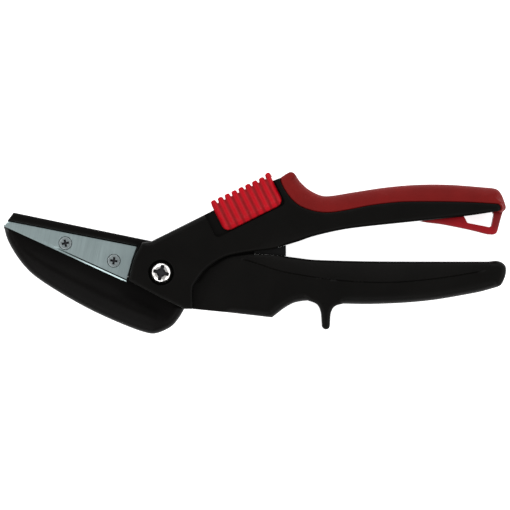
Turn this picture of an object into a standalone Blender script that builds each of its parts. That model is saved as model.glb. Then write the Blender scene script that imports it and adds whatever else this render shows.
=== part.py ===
"""Bypass pruning shears with a screwed steel blade, a thumb slide lock and a hanging eye.

The shears lie flat on their rear faces: +Z is up through the thickness, the jaws point
to -X and the handles to +X. The origin is on the pivot axis, at the plane they rest on.
Lengths in this file are millimetres and are turned into metres when a mesh is made.
"""
import math

import bmesh
import bpy
from mathutils import Matrix, Vector

MM = 0.001

# Driving dimensions, in millimetres.
THICKNESS = 22.0
PARTING = 11.0
FIT_GAP = 0.3
CHEEK_IN_FRONT = 17.3
CHEEK_IN_REAR = 4.2
CUT_PLANE = 10.6
HEAD_TOP = 17.0
CORE_TOP = 15.0
HEAD_RADIUS = 10.2
SWEEP_RADIUS = 19.4
HANDLE_START_RADIUS = 25.2
FRONT_FALL_RADIUS = 58.0
REAR_FALL_RADIUS = 37.0
SLEEVE_RADIUS = 4.5
WASHER_RADIUS = 8.0
BOLT_RADIUS = 3.0
BOLT_HEAD_RADIUS = 5.5
NUT_RADIUS = 5.8
BLADE_THICKNESS = 2.4
BLADE_SCREW_HEAD = 3.1
BLADE_SCREW_SHANK = 1.6

# The slide lock, along (u) and across (v) its own direction.
SLIDE_ANGLE = math.radians(26.5)
SLIDE_TRAVEL = 5.0
SLIDER_U = (37.6, 70.6)
RIB_COUNT = 9
RIB_PITCH = 3.8
LOCK_PIN_AT = (57.0, 8.0)
LOCK_PIN_RADIUS = 1.2

# The return spring, which stands along Y between the handles.
SPRING_AT = 40.0
SPRING_ENDS = (1.2, 15.8)
SPRING_BORE = 4.6
SPRING_TURNS = 6.0
SPRING_RADIUS = 3.6
SPRING_WIRE = 0.55

# The screws that close the shells, driven in from the rear.
SHELL_SCREWS = ((16.3, 21.0), (52.0, 17.5), (84.0, 25.2), (120.6, 30.0))
HANDLE_SCREWS = ((34.0, -8.0), (68.0, -8.0), (140.0, -4.5))
SCREW_HEAD = 2.8
SCREW_SHANK = 1.4
SCREW_FACE = 0.9
SCREW_TIP = 17.0

# Jaw lines, as (x, y) pairs from the tip to the pivot end.
CUTTING_EDGE = ((-79.0, 23.3), (-17.6, -4.8))
JAW_EDGE = ((-79.0, 24.0), (-10.3, -5.1))
BLADE_SCREWS = ((-48.1, 14.7), (-23.8, 5.9))

# Outlines are smooth curves through these points, in the pivot's frame.
LOBE_BELLY = ((-79.2, 22.6), (-77.3, 16.3), (-73.3, 9.1), (-68.3, 2.6), (-62.3, -2.8),
              (-50.3, -10.6), (-35.3, -18.9), (-20.3, -25.7), (-8.3, -30.1), (-2.3, -30.5),
              (4.7, -27.3), (8.7, -22.9), (11.5, -18.2))
CHEEK_STEP = ((-15.8, -4.1), (-10.0, -7.3), (-0.4, -12.4), (9.2, -16.9), (11.5, -18.2))
CHEEK_SIDE = ((-5.0, 15.8), (-9.4, 15.1), (-13.8, 6.2), (-15.7, -2.2), (-15.8, -4.1))
HEAD_ARC = ((15.9, -15.5), (15.9, -7.8), (17.8, -4.0), (21.7, 1.2), (26.8, 5.2),
            (32.6, 8.2), (39.0, 9.7), (46.0, 10.7), (55.0, 11.8), (61.2, 13.3))
UPPER_UNDERSIDE = ((61.2, 13.3), (68.7, 15.6), (76.7, 18.3), (88.7, 21.1), (100.0, 22.8),
                   (124.7, 25.4), (151.5, 28.2), (166.3, 30.3))
GRIP_SEAM = ((168.6, 34.2), (153.1, 35.1), (137.2, 35.4), (122.8, 35.3), (113.3, 34.6),
             (103.7, 33.3), (94.1, 31.4), (86.2, 30.1), (79.8, 30.1), (74.2, 31.3),
             (69.4, 33.3), (65.4, 36.5), (62.0, 41.0), (59.6, 45.6))
GRIP_BACK = ((59.7, 47.4), (62.0, 49.0), (64.3, 50.3), (66.1, 50.1), (67.5, 48.7),
             (69.5, 45.7), (73.4, 42.0), (79.0, 39.0), (84.5, 38.4), (96.7, 40.3),
             (112.7, 42.7), (128.5, 44.0), (144.5, 44.0), (160.7, 42.8), (167.5, 42.0),
             (170.3, 39.6), (172.2, 35.0), (172.7, 32.2), (171.1, 30.2))
LOWER_TOP = ((61.2, 8.3), (68.7, 7.3), (76.7, 6.4), (92.0, 5.9), (108.7, 5.6),
             (140.7, 5.5), (164.7, 5.5))
LOWER_END = ((164.7, 5.5), (167.6, 5.8), (170.0, 5.1), (171.8, 3.5), (172.4, 1.3),
             (171.9, -1.6), (170.9, -4.2), (169.8, -6.0), (168.2, -7.1))
LOWER_BELLY = ((168.2, -7.1), (160.7, -9.4), (152.7, -11.0), (136.7, -13.7),
               (120.7, -15.2), (104.0, -15.8), (91.0, -15.6))
FINGER_SCALLOP = ((73.4, -14.0), (69.8, -14.4), (66.1, -15.3), (61.9, -17.6), (58.2, -20.4),
                  (55.5, -22.5))


# ---------------------------------------------------------------- outlines

def curve_through(points, steps=4):
    """Points along a smooth curve through the given points, ends included."""
    pts = [Vector(p) for p in points]
    ends = [pts[0] * 2 - pts[1]] + pts + [pts[-1] * 2 - pts[-2]]
    out = []
    for i in range(1, len(ends) - 2):
        a, b, c, d = ends[i - 1:i + 3]
        for k in range(steps):
            t = k / steps
            out.append(0.5 * (2 * b + (c - a) * t + (2 * a - 5 * b + 4 * c - d) * t ** 2
                              + (3 * b - a - 3 * c + d) * t ** 3))
    out.append(pts[-1])
    return [tuple(p) for p in out]


def arc(centre, radius, start, end, steps=8):
    """Points on an arc, angles in degrees."""
    out = []
    for k in range(steps + 1):
        a = math.radians(start + (end - start) * k / steps)
        out.append((centre[0] + radius * math.cos(a), centre[1] + radius * math.sin(a)))
    return out


def joined(*runs):
    """One closed outline from several runs, without doubled points."""
    out = []
    for run in runs:
        for p in run:
            if not out or math.dist(p, out[-1]) > 0.05:
                out.append(tuple(p))
    while math.dist(out[0], out[-1]) <= 0.05:
        out.pop()
    return out


def area(outline):
    total = 0.0
    for (x0, y0), (x1, y1) in zip(outline, outline[1:] + outline[:1]):
        total += x0 * y1 - x1 * y0
    return total / 2


def corner_normals(outline):
    """For each point, the outward direction and how far a unit offset moves it."""
    sign = 1.0 if area(outline) > 0 else -1.0
    out = []
    count = len(outline)
    for i, p in enumerate(outline):
        before = (Vector(p) - Vector(outline[i - 1])).normalized()
        after = (Vector(outline[(i + 1) % count]) - Vector(p)).normalized()
        n0 = Vector((before.y, -before.x)) * sign
        n1 = Vector((after.y, -after.x)) * sign
        middle = (n0 + n1).normalized()
        out.append((middle, 1.0 / max(middle.dot(n1), 0.6)))
    return out


def width_across(outline, i, normal):
    """The distance from a point, straight through the material, to the far side."""
    p = Vector(outline[i])
    nearest = 1000.0
    count = len(outline)
    for j in range(count):
        k = (j + 1) % count
        if i in (j, k):
            continue
        a, b = Vector(outline[j]), Vector(outline[k])
        edge = b - a
        across = normal.x * edge.y - normal.y * edge.x
        if abs(across) < 1e-9:
            continue
        gap = a - p
        along = (gap.x * edge.y - gap.y * edge.x) / across
        on_edge = (gap.x * normal.y - gap.y * normal.x) / across
        if 0.0 <= on_edge <= 1.0 and along < -0.01:
            nearest = min(nearest, -along)
    return nearest


def grown(outline, amount):
    """The outline moved outwards by an amount, or inwards if it is negative.

    A point on a narrow stretch moves in by no more than a third of the width there.
    """
    out = []
    for i, (p, (normal, stretch)) in enumerate(zip(outline, corner_normals(outline))):
        reach = amount * stretch
        if amount < 0:
            reach = max(reach, -0.33 * width_across(outline, i, normal))
        out.append((p[0] + normal.x * reach, p[1] + normal.y * reach))
    return out


def slide_to_xy(u, v):
    """A point given along (u) and across (v) the slide direction."""
    c, s = math.cos(SLIDE_ANGLE), math.sin(SLIDE_ANGLE)
    return (u * c - v * s, u * s + v * c)


def slide_box(u0, u1, v0, v1):
    return [slide_to_xy(u, v) for u, v in ((u0, v0), (u1, v0), (u1, v1), (u0, v1))]


# ---------------------------------------------------------------- meshes

def material(name, colour, roughness, metallic):
    mat = bpy.data.materials.new(name)
    mat.use_nodes = True
    shader = mat.node_tree.nodes["Principled BSDF"]
    shader.inputs["Base Color"].default_value = (*colour, 1.0)
    shader.inputs["Roughness"].default_value = roughness
    shader.inputs["Metallic"].default_value = metallic
    mat.diffuse_color = (*colour, 1.0)
    return mat


def new_object(name, bm, smooth_angle=35.0):
    """A mesh object in metres from a bmesh in millimetres."""
    bmesh.ops.scale(bm, vec=(MM, MM, MM), verts=bm.verts)
    bmesh.ops.recalc_face_normals(bm, faces=bm.faces)
    mesh = bpy.data.meshes.new(name)
    bm.to_mesh(mesh)
    bm.free()
    mesh.shade_smooth()
    mesh.set_sharp_from_angle(angle=math.radians(smooth_angle))
    obj = bpy.data.objects.new(name, mesh)
    bpy.context.scene.collection.objects.link(obj)
    return obj


def loft(name, rings):
    """A closed solid through rings of equal point counts: [(outline, z), ...]."""
    bm = bmesh.new()
    loops = [[bm.verts.new((x, y, z)) for x, y in outline] for outline, z in rings]
    bm.faces.new(loops[0])
    bm.faces.new(loops[-1])
    count = len(loops[0])
    for low, high in zip(loops, loops[1:]):
        for i in range(count):
            j = (i + 1) % count
            bm.faces.new((low[i], low[j], high[j], high[i]))
    return new_object(name, bm)


def plate(name, outline, z0, z1, low_round=0.0, high_round=0.0, steps=2):
    """A prism whose lower and upper rims are rounded by the given radii."""
    rings = []
    for k in range(steps + 1 if low_round else 1):
        a = math.radians(90.0 * k / steps) if low_round else math.radians(90.0)
        inset = low_round * (1 - math.sin(a))
        rings.append((grown(outline, -inset), z0 + low_round * (1 - math.cos(a))))
    for k in range(steps + 1 if high_round else 1):
        a = math.radians(90.0 * (1 - k / steps)) if high_round else math.radians(90.0)
        inset = high_round * (1 - math.sin(a))
        rings.append((grown(outline, -inset), z1 - high_round * (1 - math.cos(a))))
    return loft(name, rings)


def spin_profile(bm, profile, centre, segments):
    """Add a solid of revolution about a vertical axis, from (radius, z) pairs."""
    rings = []
    for radius, z in profile:
        if radius == 0.0:
            rings.append([bm.verts.new((centre[0], centre[1], z))])
            continue
        ring = []
        for k in range(segments):
            a = 2 * math.pi * k / segments
            ring.append(bm.verts.new((centre[0] + radius * math.cos(a),
                                      centre[1] + radius * math.sin(a), z)))
        rings.append(ring)
    pairs = list(zip(rings, rings[1:]))
    if len(rings[0]) > 1:
        pairs.append((rings[-1], rings[0]))
    for low, high in pairs:
        for k in range(segments):
            n = (k + 1) % segments
            if len(low) == 1:
                bm.faces.new((low[0], high[n], high[k]))
            elif len(high) == 1:
                bm.faces.new((low[k], low[n], high[0]))
            else:
                bm.faces.new((low[k], low[n], high[n], high[k]))


def turned(name, profile, centre, segments=32):
    """A turned piece, with its origin on its own axis."""
    bm = bmesh.new()
    spin_profile(bm, profile, (0.0, 0.0), segments)
    obj = new_object(name, bm)
    obj.location = (centre[0] * MM, centre[1] * MM, 0.0)
    return obj


def turned_cutters(name, profile, centres, segments=24):
    """One construction solid that holds the same turned shape at several places."""
    bm = bmesh.new()
    for centre in centres:
        spin_profile(bm, profile, centre, segments)
    return new_object(name, bm)


def combine(obj, other, operation):
    """Boolean of two solids. The second is a construction solid, not a part."""
    other.hide_render = True
    other.display_type = "WIRE"
    other.parent = obj
    other.location -= obj.location
    mod = obj.modifiers.new(other.name, "BOOLEAN")
    mod.operation = operation
    mod.solver = "EXACT"
    mod.object = other


def cut(obj, other):
    combine(obj, other, "DIFFERENCE")


def add(obj, other):
    combine(obj, other, "UNION")


def cylinder(name, centre, radius, z0, z1, segments=24):
    return turned(name, [(0.0, z0), (radius, z0), (radius, z1), (0.0, z1)], centre, segments)


def cross_recess(name, centre, reach, width, z0, z1, turn):
    """A plus-shaped cutter for a cross-head screw."""
    pts = []
    for quarter in range(4):
        a = turn + quarter * math.pi / 2
        along = Vector((math.cos(a), math.sin(a)))
        side = Vector((-along.y, along.x))
        for p in (along * reach - side * width, along * reach + side * width,
                  (along + side) * width):
            pts.append((centre[0] + p.x, centre[1] + p.y))
    return loft(name, [(pts, z0), (pts, z1)])


def screw(name, centre, head_radius, shank_radius, z_head, z_tip, turn=0.3):
    """A countersunk cross-head screw standing along Z, its head face at z_head."""
    way = 1.0 if z_tip > z_head else -1.0
    cone = head_radius - shank_radius
    profile = [(0.0, z_head), (head_radius, z_head), (head_radius, z_head + way * 0.4),
               (shank_radius, z_head + way * (0.4 + cone)), (shank_radius, z_tip), (0.0, z_tip)]
    obj = turned(name, profile, centre, 24)
    reach, width = head_radius * 0.62, head_radius * 0.16
    low, high = sorted((z_head - way, z_head + way * head_radius * 0.35))
    cut(obj, cross_recess(name + "_recess", centre, reach, width, low, high, turn))
    return obj


def screw_holes(name, centres, head_radius, shank_radius, z_head, z_tip):
    """Clearance cutters for countersunk screws, open at the heads."""
    way = 1.0 if z_tip > z_head else -1.0
    head, shank = head_radius + FIT_GAP, shank_radius + FIT_GAP
    cone = head - shank
    profile = [(0.0, z_head - way * 2), (head, z_head - way * 2), (head, z_head + way * 0.7),
               (shank, z_head + way * (0.7 + cone)), (shank, z_tip), (0.0, z_tip)]
    return turned_cutters(name, profile, centres)


def prism_along(name, start, end, radius, segments=20):
    """A round bar between two points."""
    bm = bmesh.new()
    axis = Vector(end) - Vector(start)
    turn = axis.to_track_quat("Z", "Y").to_matrix().to_4x4()
    place = Matrix.Translation((Vector(start) + Vector(end)) / 2) @ turn
    bmesh.ops.create_cone(bm, cap_ends=True, segments=segments, radius1=radius,
                          radius2=radius, depth=axis.length, matrix=place)
    return new_object(name, bm)


def block(name, outline, z0, z1):
    """A plain prism, used as a cutter or as a lug."""
    return loft(name, [(outline, z0), (outline, z1)])


def line_y(line, x):
    """The height of a straight jaw line at x."""
    (x0, y0), (x1, y1) = line
    return y0 + (y1 - y0) * (x - x0) / (x1 - x0)


# ---------------------------------------------------------------- outlines of the parts

def back_edge():
    """The straight back of the body, parallel to the slide."""
    return [slide_to_xy(2.6, 16.2), slide_to_xy(72.0, 16.2)]


def body_outline():
    """The upper handle without its grip, and the cheek around the pivot."""
    seam = curve_through(GRIP_SEAM)
    tip = curve_through(((168.6, 34.2), (169.8, 32.6), (169.0, 31.0), (166.3, 30.3)), 3)
    head = curve_through(HEAD_ARC)
    under = curve_through(UPPER_UNDERSIDE, 3)
    side = curve_through(CHEEK_SIDE[1:], 3)
    return joined(back_edge(), seam[::-1], tip, under[::-1], head[::-1], [(15.5, -18.2)],
                  CHEEK_STEP[::-1], side[::-1])


def handle_head():
    """The domed end of the lower handle, just clear of the body."""
    points = ((16.5, -15.5), (16.5, -7.9), (18.4, -4.3), (22.1, 0.8), (27.1, 4.6),
              (32.7, 7.5), (39.0, 8.9), (46.0, 9.3), (55.0, 8.9), (61.2, 8.3))
    return curve_through(points)


def hook():
    """The small finger hook under the lower handle."""
    near = curve_through(((73.4, -14.0), (77.9, -15.9), (79.9, -19.6), (80.5, -26.4)), 3)
    tip = arc((82.5, -26.5), 2.0, 180, 360, 6)
    far = curve_through(((84.5, -26.4), (85.0, -20.2), (87.0, -16.9), (91.0, -15.6)), 3)
    return joined(near, tip, far)


def handle_outline():
    """The lower handle, with the edge that runs in under the body's cheek."""
    top = curve_through(LOWER_TOP, 3)
    end = curve_through(LOWER_END, 3)
    belly = curve_through(LOWER_BELLY, 3)
    scallop = curve_through(FINGER_SCALLOP, 3)
    under_cheek = [(15.8, -18.25), (13.6, -14.8), (13.0, -8.5), (15.0, -4.0)]
    head = [p for p in handle_head() if p[1] > -4.5]
    return joined(head, top, end, belly, hook()[::-1], scallop, [(32.7, -19.9)], under_cheek)


def core_tail_outline():
    """The cast core inside the lower handle, from the head to its tail."""
    return [(9.7, 3.0), (14.0, -1.5), (18.4, -3.8), (22.1, 0.4), (27.1, 4.1), (31.0, 5.6),
            (33.0, 0.0), (60.0, -4.0), (108.0, -5.5), (118.0, -8.0), (108.0, -10.5),
            (60.0, -11.5), (48.0, -15.0), (30.0, -17.0), (17.4, -17.6), (12.0, -14.5),
            (4.0, -9.3)]


def tang_outline():
    """The jaw's tang inside the upper body, given along the slide."""
    corners = ((2.0, -9.0), (12.0, -6.5), (31.0, -4.5), (31.0, 5.2), (12.0, 5.2), (2.0, 9.0))
    return [slide_to_xy(u, v) for u, v in corners]


def sweep_cutters(name, z0, z1):
    """The room that the lever's head and neck need between the cheeks."""
    disc = cylinder(name + "_disc", (0, 0), SWEEP_RADIUS, z0, z1, 48)
    neck = block(name + "_neck", [(2, -30), (30, -30), (30, -4), (15, -4), (2, -14)], z0, z1)
    return disc, neck


# ---------------------------------------------------------------- body

def shell_cutters(obj):
    """What both body shells give up: lock, spring, stop, eye tongue and screws."""
    name = obj.name
    cut(obj, cylinder(name + "_bolt_hole", (0, 0), BOLT_RADIUS + FIT_GAP, -2, 24))
    pin_u = LOCK_PIN_AT[0]
    cut(obj, block(name + "_stem_slot", slide_box(51.6 - SLIDE_TRAVEL, 61.4, 5.0, 18.0), 8.9, 12.5))
    cut(obj, block(name + "_bar_channel", slide_box(12.0, pin_u - 2.0, 5.7, 8.0), 9.5, 15.8))
    eye_room = slide_box(pin_u - 3.2 - SLIDE_TRAVEL, pin_u + 3.4, 5.2, 10.8)
    cut(obj, block(name + "_eye_channel", eye_room, 9.7, 16.0))
    cut(obj, prism_along(name + "_spring_bore", (SPRING_AT, 6.0, PARTING),
                         (SPRING_AT, SPRING_ENDS[1] + 0.4, PARTING), SPRING_BORE))
    stop = [(54.2, 8.0), (58.3, 8.0), (58.3, 16.3), (54.2, 16.3)]
    cut(obj, block(name + "_stop_slot", stop, 5.7, 16.3))
    cut(obj, block(name + "_tongue_slot", tongue_outline(0.3), 8.5, 13.5))
    cut(obj, screw_holes(name + "_holes", SHELL_SCREWS, SCREW_HEAD, SCREW_SHANK,
                         SCREW_FACE, SCREW_TIP + 0.4))


def body_front_shell():
    obj = plate("body_front_shell", body_outline(), PARTING + 0.15, THICKNESS, high_round=1.5)
    for cutter in sweep_cutters("front_sweep", 10.0, CHEEK_IN_FRONT):
        cut(obj, cutter)
    cut(obj, cylinder("bolt_head_recess", (0, 0), BOLT_HEAD_RADIUS + 0.9, 18.3, 24, 32))
    cut(obj, block("front_slide_bed", slide_box(32.3, 71.4, 2.9, 20.0), 19.4, 24))
    shell_cutters(obj)
    return obj


def body_rear_shell():
    obj = plate("body_rear_shell", body_outline(), 0.0, PARTING - 0.15, low_round=1.5)
    for cutter in sweep_cutters("rear_sweep", CHEEK_IN_REAR, 12.0):
        cut(obj, cutter)
    cut(obj, block("tang_pocket", grown(tang_outline(), 0.35), CHEEK_IN_REAR, 12.0))
    cut(obj, nut_prism("nut_recess", NUT_RADIUS + FIT_GAP * 1.2, -2.0, 3.1))
    cut(obj, block("rear_slide_bed", slide_box(32.3, 71.4, 2.9, 20.0), -2.0, 2.6))
    shell_cutters(obj)
    return obj


def lower_jaw():
    """The broad lower jaw with its tang, and a soft swell on its front face."""
    belly = curve_through(LOBE_BELLY)
    outline = joined(belly, [(9.0, -12.0), (6.0, -8.6)], arc((0, 0), 10.4, -50, 210, 18),
                     JAW_EDGE[::-1])
    obj = plate("lower_jaw", outline, 2.2, CUT_PLANE, low_round=1.6)
    swell = joined(curve_through(((-72.0, 16.2), (-74.0, 12.5), (-62.0, -0.3), (-50.3, -8.0),
                                  (-35.3, -16.2), (-20.3, -23.0), (-8.0, -27.4),
                                  (-1.0, -27.6), (3.4, -24.4), (1.0, -18.6)), 3),
                   [(-4.0, -15.4), (-14.0, -10.4), (-19.0, -7.4), (-45.0, 4.4)])
    add(obj, plate("jaw_swell", swell, CUT_PLANE - 0.5, CUT_PLANE + 1.8, high_round=1.6))
    add(obj, block("jaw_tang", tang_outline(), CHEEK_IN_REAR + FIT_GAP, CUT_PLANE))
    cut(obj, block("cheek_room", grown(body_outline(), 0.4), -2.0, CHEEK_IN_REAR + FIT_GAP))
    cut(obj, cylinder("jaw_bore", (0, 0), SLEEVE_RADIUS + FIT_GAP, 0, 14))
    cut(obj, block("counter_blade_seat", counter_blade_outline(1.2, FIT_GAP), 7.3, 14.0))
    return obj


def counter_blade_outline(above, below):
    """A tapering strip on the jaw's edge, hidden behind the closed blade."""
    left, right = -70.0, -18.0
    if above:
        left, right = left - FIT_GAP, right + FIT_GAP
    return [(left, line_y(JAW_EDGE, left) + above), (left, line_y(CUTTING_EDGE, left) + 0.2 - below),
            (right, line_y(CUTTING_EDGE, right) + 0.2 - below), (right, line_y(JAW_EDGE, right) + above)]


def counter_blade():
    return block("counter_blade", counter_blade_outline(0.0, 0.0), 7.6, CUT_PLANE)


def nut_prism(name, radius, z0, z1):
    return block(name, arc((0, 0), radius, 30, 330, 5), z0, z1)


def pivot_bolt():
    """A low round head with a cross recess, and its shank."""
    profile = [(0.0, 21.4), (3.2, 21.1), (4.8, 20.4), (BOLT_HEAD_RADIUS, 19.5),
               (BOLT_HEAD_RADIUS, 18.6), (BOLT_RADIUS, 18.6), (BOLT_RADIUS, 1.2), (0.0, 1.2)]
    obj = turned("pivot_bolt", profile, (0, 0), 32)
    cut(obj, cross_recess("pivot_bolt_recess", (0, 0), 3.3, 0.75, 19.4, 23, 0.55))
    return obj


def pivot_nut():
    """A blind hexagon nut, let in flush with the rear face."""
    obj = nut_prism("pivot_nut", NUT_RADIUS, 0.0, 2.8)
    cut(obj, cylinder("nut_bore", (0, 0), BOLT_RADIUS + FIT_GAP, 0.9, 4))
    return obj


def ring(name, inner, outer, z0, z1):
    profile = [(inner, z0), (outer, z0), (outer, z1), (inner, z1)]
    return turned(name, profile, (0, 0), 32)


def pivot_rings():
    hole = SLEEVE_RADIUS + FIT_GAP
    return [ring("pivot_sleeve", BOLT_RADIUS + FIT_GAP, SLEEVE_RADIUS, 4.5, HEAD_TOP),
            ring("thrust_washer_rear", hole, WASHER_RADIUS, 10.9, 11.7),
            ring("thrust_washer_front", hole, WASHER_RADIUS, 16.5, HEAD_TOP)]


def return_spring():
    """A compression spring between the two handles, on an axis along Y."""
    bm = bmesh.new()
    low, high = SPRING_ENDS
    per_turn, sides = 14, 6
    total = int(SPRING_TURNS * per_turn)
    loops = []
    for k in range(total + 1):
        a = 2 * math.pi * k / per_turn
        y = low + SPRING_WIRE + (high - low - 2 * SPRING_WIRE) * k / total
        out = Vector((math.cos(a), 0, math.sin(a)))
        centre = Vector((SPRING_AT, y, PARTING)) + out * SPRING_RADIUS
        loops.append([bm.verts.new(centre + out * SPRING_WIRE * math.cos(b)
                                   + Vector((0, 1, 0)) * SPRING_WIRE * math.sin(b))
                      for b in (2 * math.pi * s / sides for s in range(sides))])
    for near, far in zip(loops, loops[1:]):
        for s in range(sides):
            n = (s + 1) % sides
            bm.faces.new((near[s], near[n], far[n], far[s]))
    bm.faces.new(loops[0])
    bm.faces.new(loops[-1])
    return new_object("return_spring", bm, 60.0)


def stop_bumper():
    """A rubber pad in the crotch of the handles, held by a stem in the body."""
    pad = [(45.8, 9.75), (49.5, 9.65), (55.0, 9.25), (62.4, 8.55), (62.4, 13.3), (55.0, 11.4),
           (49.5, 10.75), (45.8, 10.3)]
    obj = block("stop_bumper", pad, 4.0, 18.0)
    add(obj, block("stop_stem", [(54.5, 10.5), (58.0, 10.5), (58.0, 16.0), (54.5, 16.0)],
                   6.0, 16.0))
    return obj


def upper_grip():
    """The soft grip over the back of the upper handle."""
    outline = joined(curve_through(GRIP_BACK), [(167.0, 32.4), (150.0, 33.0), (120.0, 33.0),
                                                (84.0, 28.0), (70.0, 30.0), (62.0, 38.0)])
    obj = plate("upper_grip", outline, 0.3, THICKNESS - 0.3, 1.6, 1.6)
    cut(obj, block("grip_seat", grown(body_outline(), FIT_GAP), -2, 24))
    return obj


def tongue_outline(extra):
    """The eye's tongue, which lies in the end of the upper handle."""
    left, right = 131.0 - extra, 167.8 + extra
    low = [(left, 25.4), (151.5, 27.6), (right, 29.7)]
    high = [(right, 32.6 + extra), (151.5, 30.6 + extra), (left, 28.4 + extra)]
    return low + high


def hang_loop():
    """The bright hanging eye under the tail of the upper handle."""
    bottom = curve_through(((129.0, 25.15), (133.7, 24.8), (140.9, 24.0), (151.2, 22.0),
                            (157.0, 20.7), (161.5, 19.6), (163.7, 19.15)), 3)
    corner = arc((165.2, 21.7), 2.6, 264, 350, 6)
    top = ((170.3, 29.6), (166.3, 29.9), (151.5, 27.85), (129.0, 25.5))
    obj = plate("hang_loop", joined(bottom, corner, top), 5.0, 17.0, 0.8, 0.8)
    add(obj, block("hang_tongue", tongue_outline(0.0), 8.8, 13.2))
    eye = joined([(151.6, 28.4)], arc((154.1, 25.9), 1.1, 205, 257, 3),
                 arc((163.9, 24.1), 1.2, 258, 348, 5), [(166.3, 28.9), (165.9, 30.4)])
    cut(obj, block("hang_eye", eye, 0, 24))
    return obj


# ---------------------------------------------------------------- lever

def lever_core():
    """The cast lever: blade carrier, head, lock tooth and the core of the lower handle."""
    head_ring = arc((0, 0), HEAD_RADIUS, 0, 360, 40)
    obj = block("lever_core", joined(head_ring), PARTING, HEAD_TOP)
    add(obj, block("lever_tail", core_tail_outline(), PARTING, CORE_TOP))
    shoulder = joined(arc((0, 0), 15.4, 100, 186, 10), [(-6.0, -6.0), (4.0, 0.0), (3.0, 8.0)])
    add(obj, block("lever_shoulder", shoulder, PARTING, HEAD_TOP))
    back = [(-77.0, 26.1), (-74.0, 30.1), (-5.0, 15.8), (-2.2, 11.0)]
    hollow = arc((0, 0), 11.2, 101, 204, 12)
    add(obj, block("carrier_web", joined(back, hollow, [(-77.6, 24.1)]),
                   CHEEK_IN_REAR + FIT_GAP, CUT_PLANE))
    lip = joined([(-77.0, 26.2), (-74.0, 30.1), (-5.0, 15.8)], arc((0, 0), 11.4, 106, 195, 10),
                 [(-16.2, -1.0), (-15.7, 0.8), (-14.0, 6.8), (-11.7, 13.4)])
    add(obj, block("carrier_lip", lip, CUT_PLANE - 0.2, 15.0))
    add(obj, block("lock_tooth", slide_box(5.0, 16.0, 8.0, 9.8), 12.0, 16.0))
    cut(obj, cylinder("lever_bore", (0, 0), SLEEVE_RADIUS + FIT_GAP, 0, 24))
    room = WASHER_RADIUS + FIT_GAP
    cut(obj, cylinder("washer_room_rear", (0, 0), room, 9.0, 12.0, 32))
    cut(obj, cylinder("washer_room_front", (0, 0), room, 16.2, 18.0, 32))
    thread = [(0.0, 3.0), (1.9, 3.0), (1.9, 12.0), (0.0, 12.0)]
    cut(obj, turned_cutters("blade_threads", thread, BLADE_SCREWS))
    through = SCREW_SHANK + FIT_GAP
    hole = [(0.0, 9.0), (through, 9.0), (through, 19.0), (0.0, 19.0)]
    cut(obj, turned_cutters("core_holes", hole, HANDLE_SCREWS[:2]))
    return obj


def blade_plate():
    """The straight steel blade, ground to its edge from the front."""
    (x0, y0), (x1, y1) = CUTTING_EDGE
    back = [(-76.7, 25.8), (-12.1, 13.1), (-14.4, 6.8), (-16.1, 0.8)]
    flat = back + [(x1, y1), (x0, y0)]
    ground = back + [(x1 + 0.4, y1 + 1.5), (x0 + 0.8, y0 + 1.0)]
    low = CUT_PLANE + FIT_GAP
    obj = loft("blade_plate", [(flat, low), (flat, low + 0.4), (ground, low + BLADE_THICKNESS)])
    cut(obj, screw_holes("blade_sinks", BLADE_SCREWS, BLADE_SCREW_HEAD, BLADE_SCREW_SHANK,
                         low + BLADE_THICKNESS, low - 3))
    return obj


def handle_cutters(obj):
    """What both lower handle shells give up: the spring's bore and the screws."""
    name = obj.name
    cut(obj, prism_along(name + "_spring_bore", (SPRING_AT, SPRING_ENDS[0] - 0.4, PARTING),
                         (SPRING_AT, 14.0, PARTING), SPRING_BORE))
    cut(obj, screw_holes(name + "_holes", HANDLE_SCREWS, SCREW_HEAD, SCREW_SHANK,
                         SCREW_FACE, SCREW_TIP + 0.4))


def handle_front_shell():
    """The front half of the lower handle: it thins out to pass under the front cheek."""
    obj = plate("handle_front_shell", handle_outline(), PARTING, THICKNESS, high_round=1.4)
    under_cheek = [(0.0, HEAD_TOP), (HANDLE_START_RADIUS, HEAD_TOP),
                   (FRONT_FALL_RADIUS, THICKNESS + 0.2), (FRONT_FALL_RADIUS, 25.0), (0.0, 25.0)]
    cut(obj, turned("front_head_room", under_cheek, (0, 0), 64))
    handle_cutters(obj)
    cut(obj, block("core_pocket", grown(core_tail_outline(), 0.35), 9.0, CORE_TOP + FIT_GAP))
    return obj


def handle_rear_shell():
    """The rear half, which clears the rear cheek and, low down, the end of the jaw."""
    obj = plate("handle_rear_shell", handle_outline(), 0.0, PARTING - 0.3, low_round=1.4)
    under_cheek = [(0.0, -3.0), (REAR_FALL_RADIUS, -3.0), (REAR_FALL_RADIUS, -0.2),
                   (HANDLE_START_RADIUS, 4.6), (0.0, 4.6)]
    cut(obj, turned("rear_head_room", under_cheek, (0, 0), 64))
    jaw_room = joined([(5.0, -30.0), (5.0, 5.0), (16.6, 5.0), (16.6, -11.5)],
                      arc((0, 0), HANDLE_START_RADIUS, -27, -52, 8))
    cut(obj, block("jaw_room", jaw_room, -2.0, 14.0))
    handle_cutters(obj)
    return obj


# ---------------------------------------------------------------- slide lock

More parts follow.
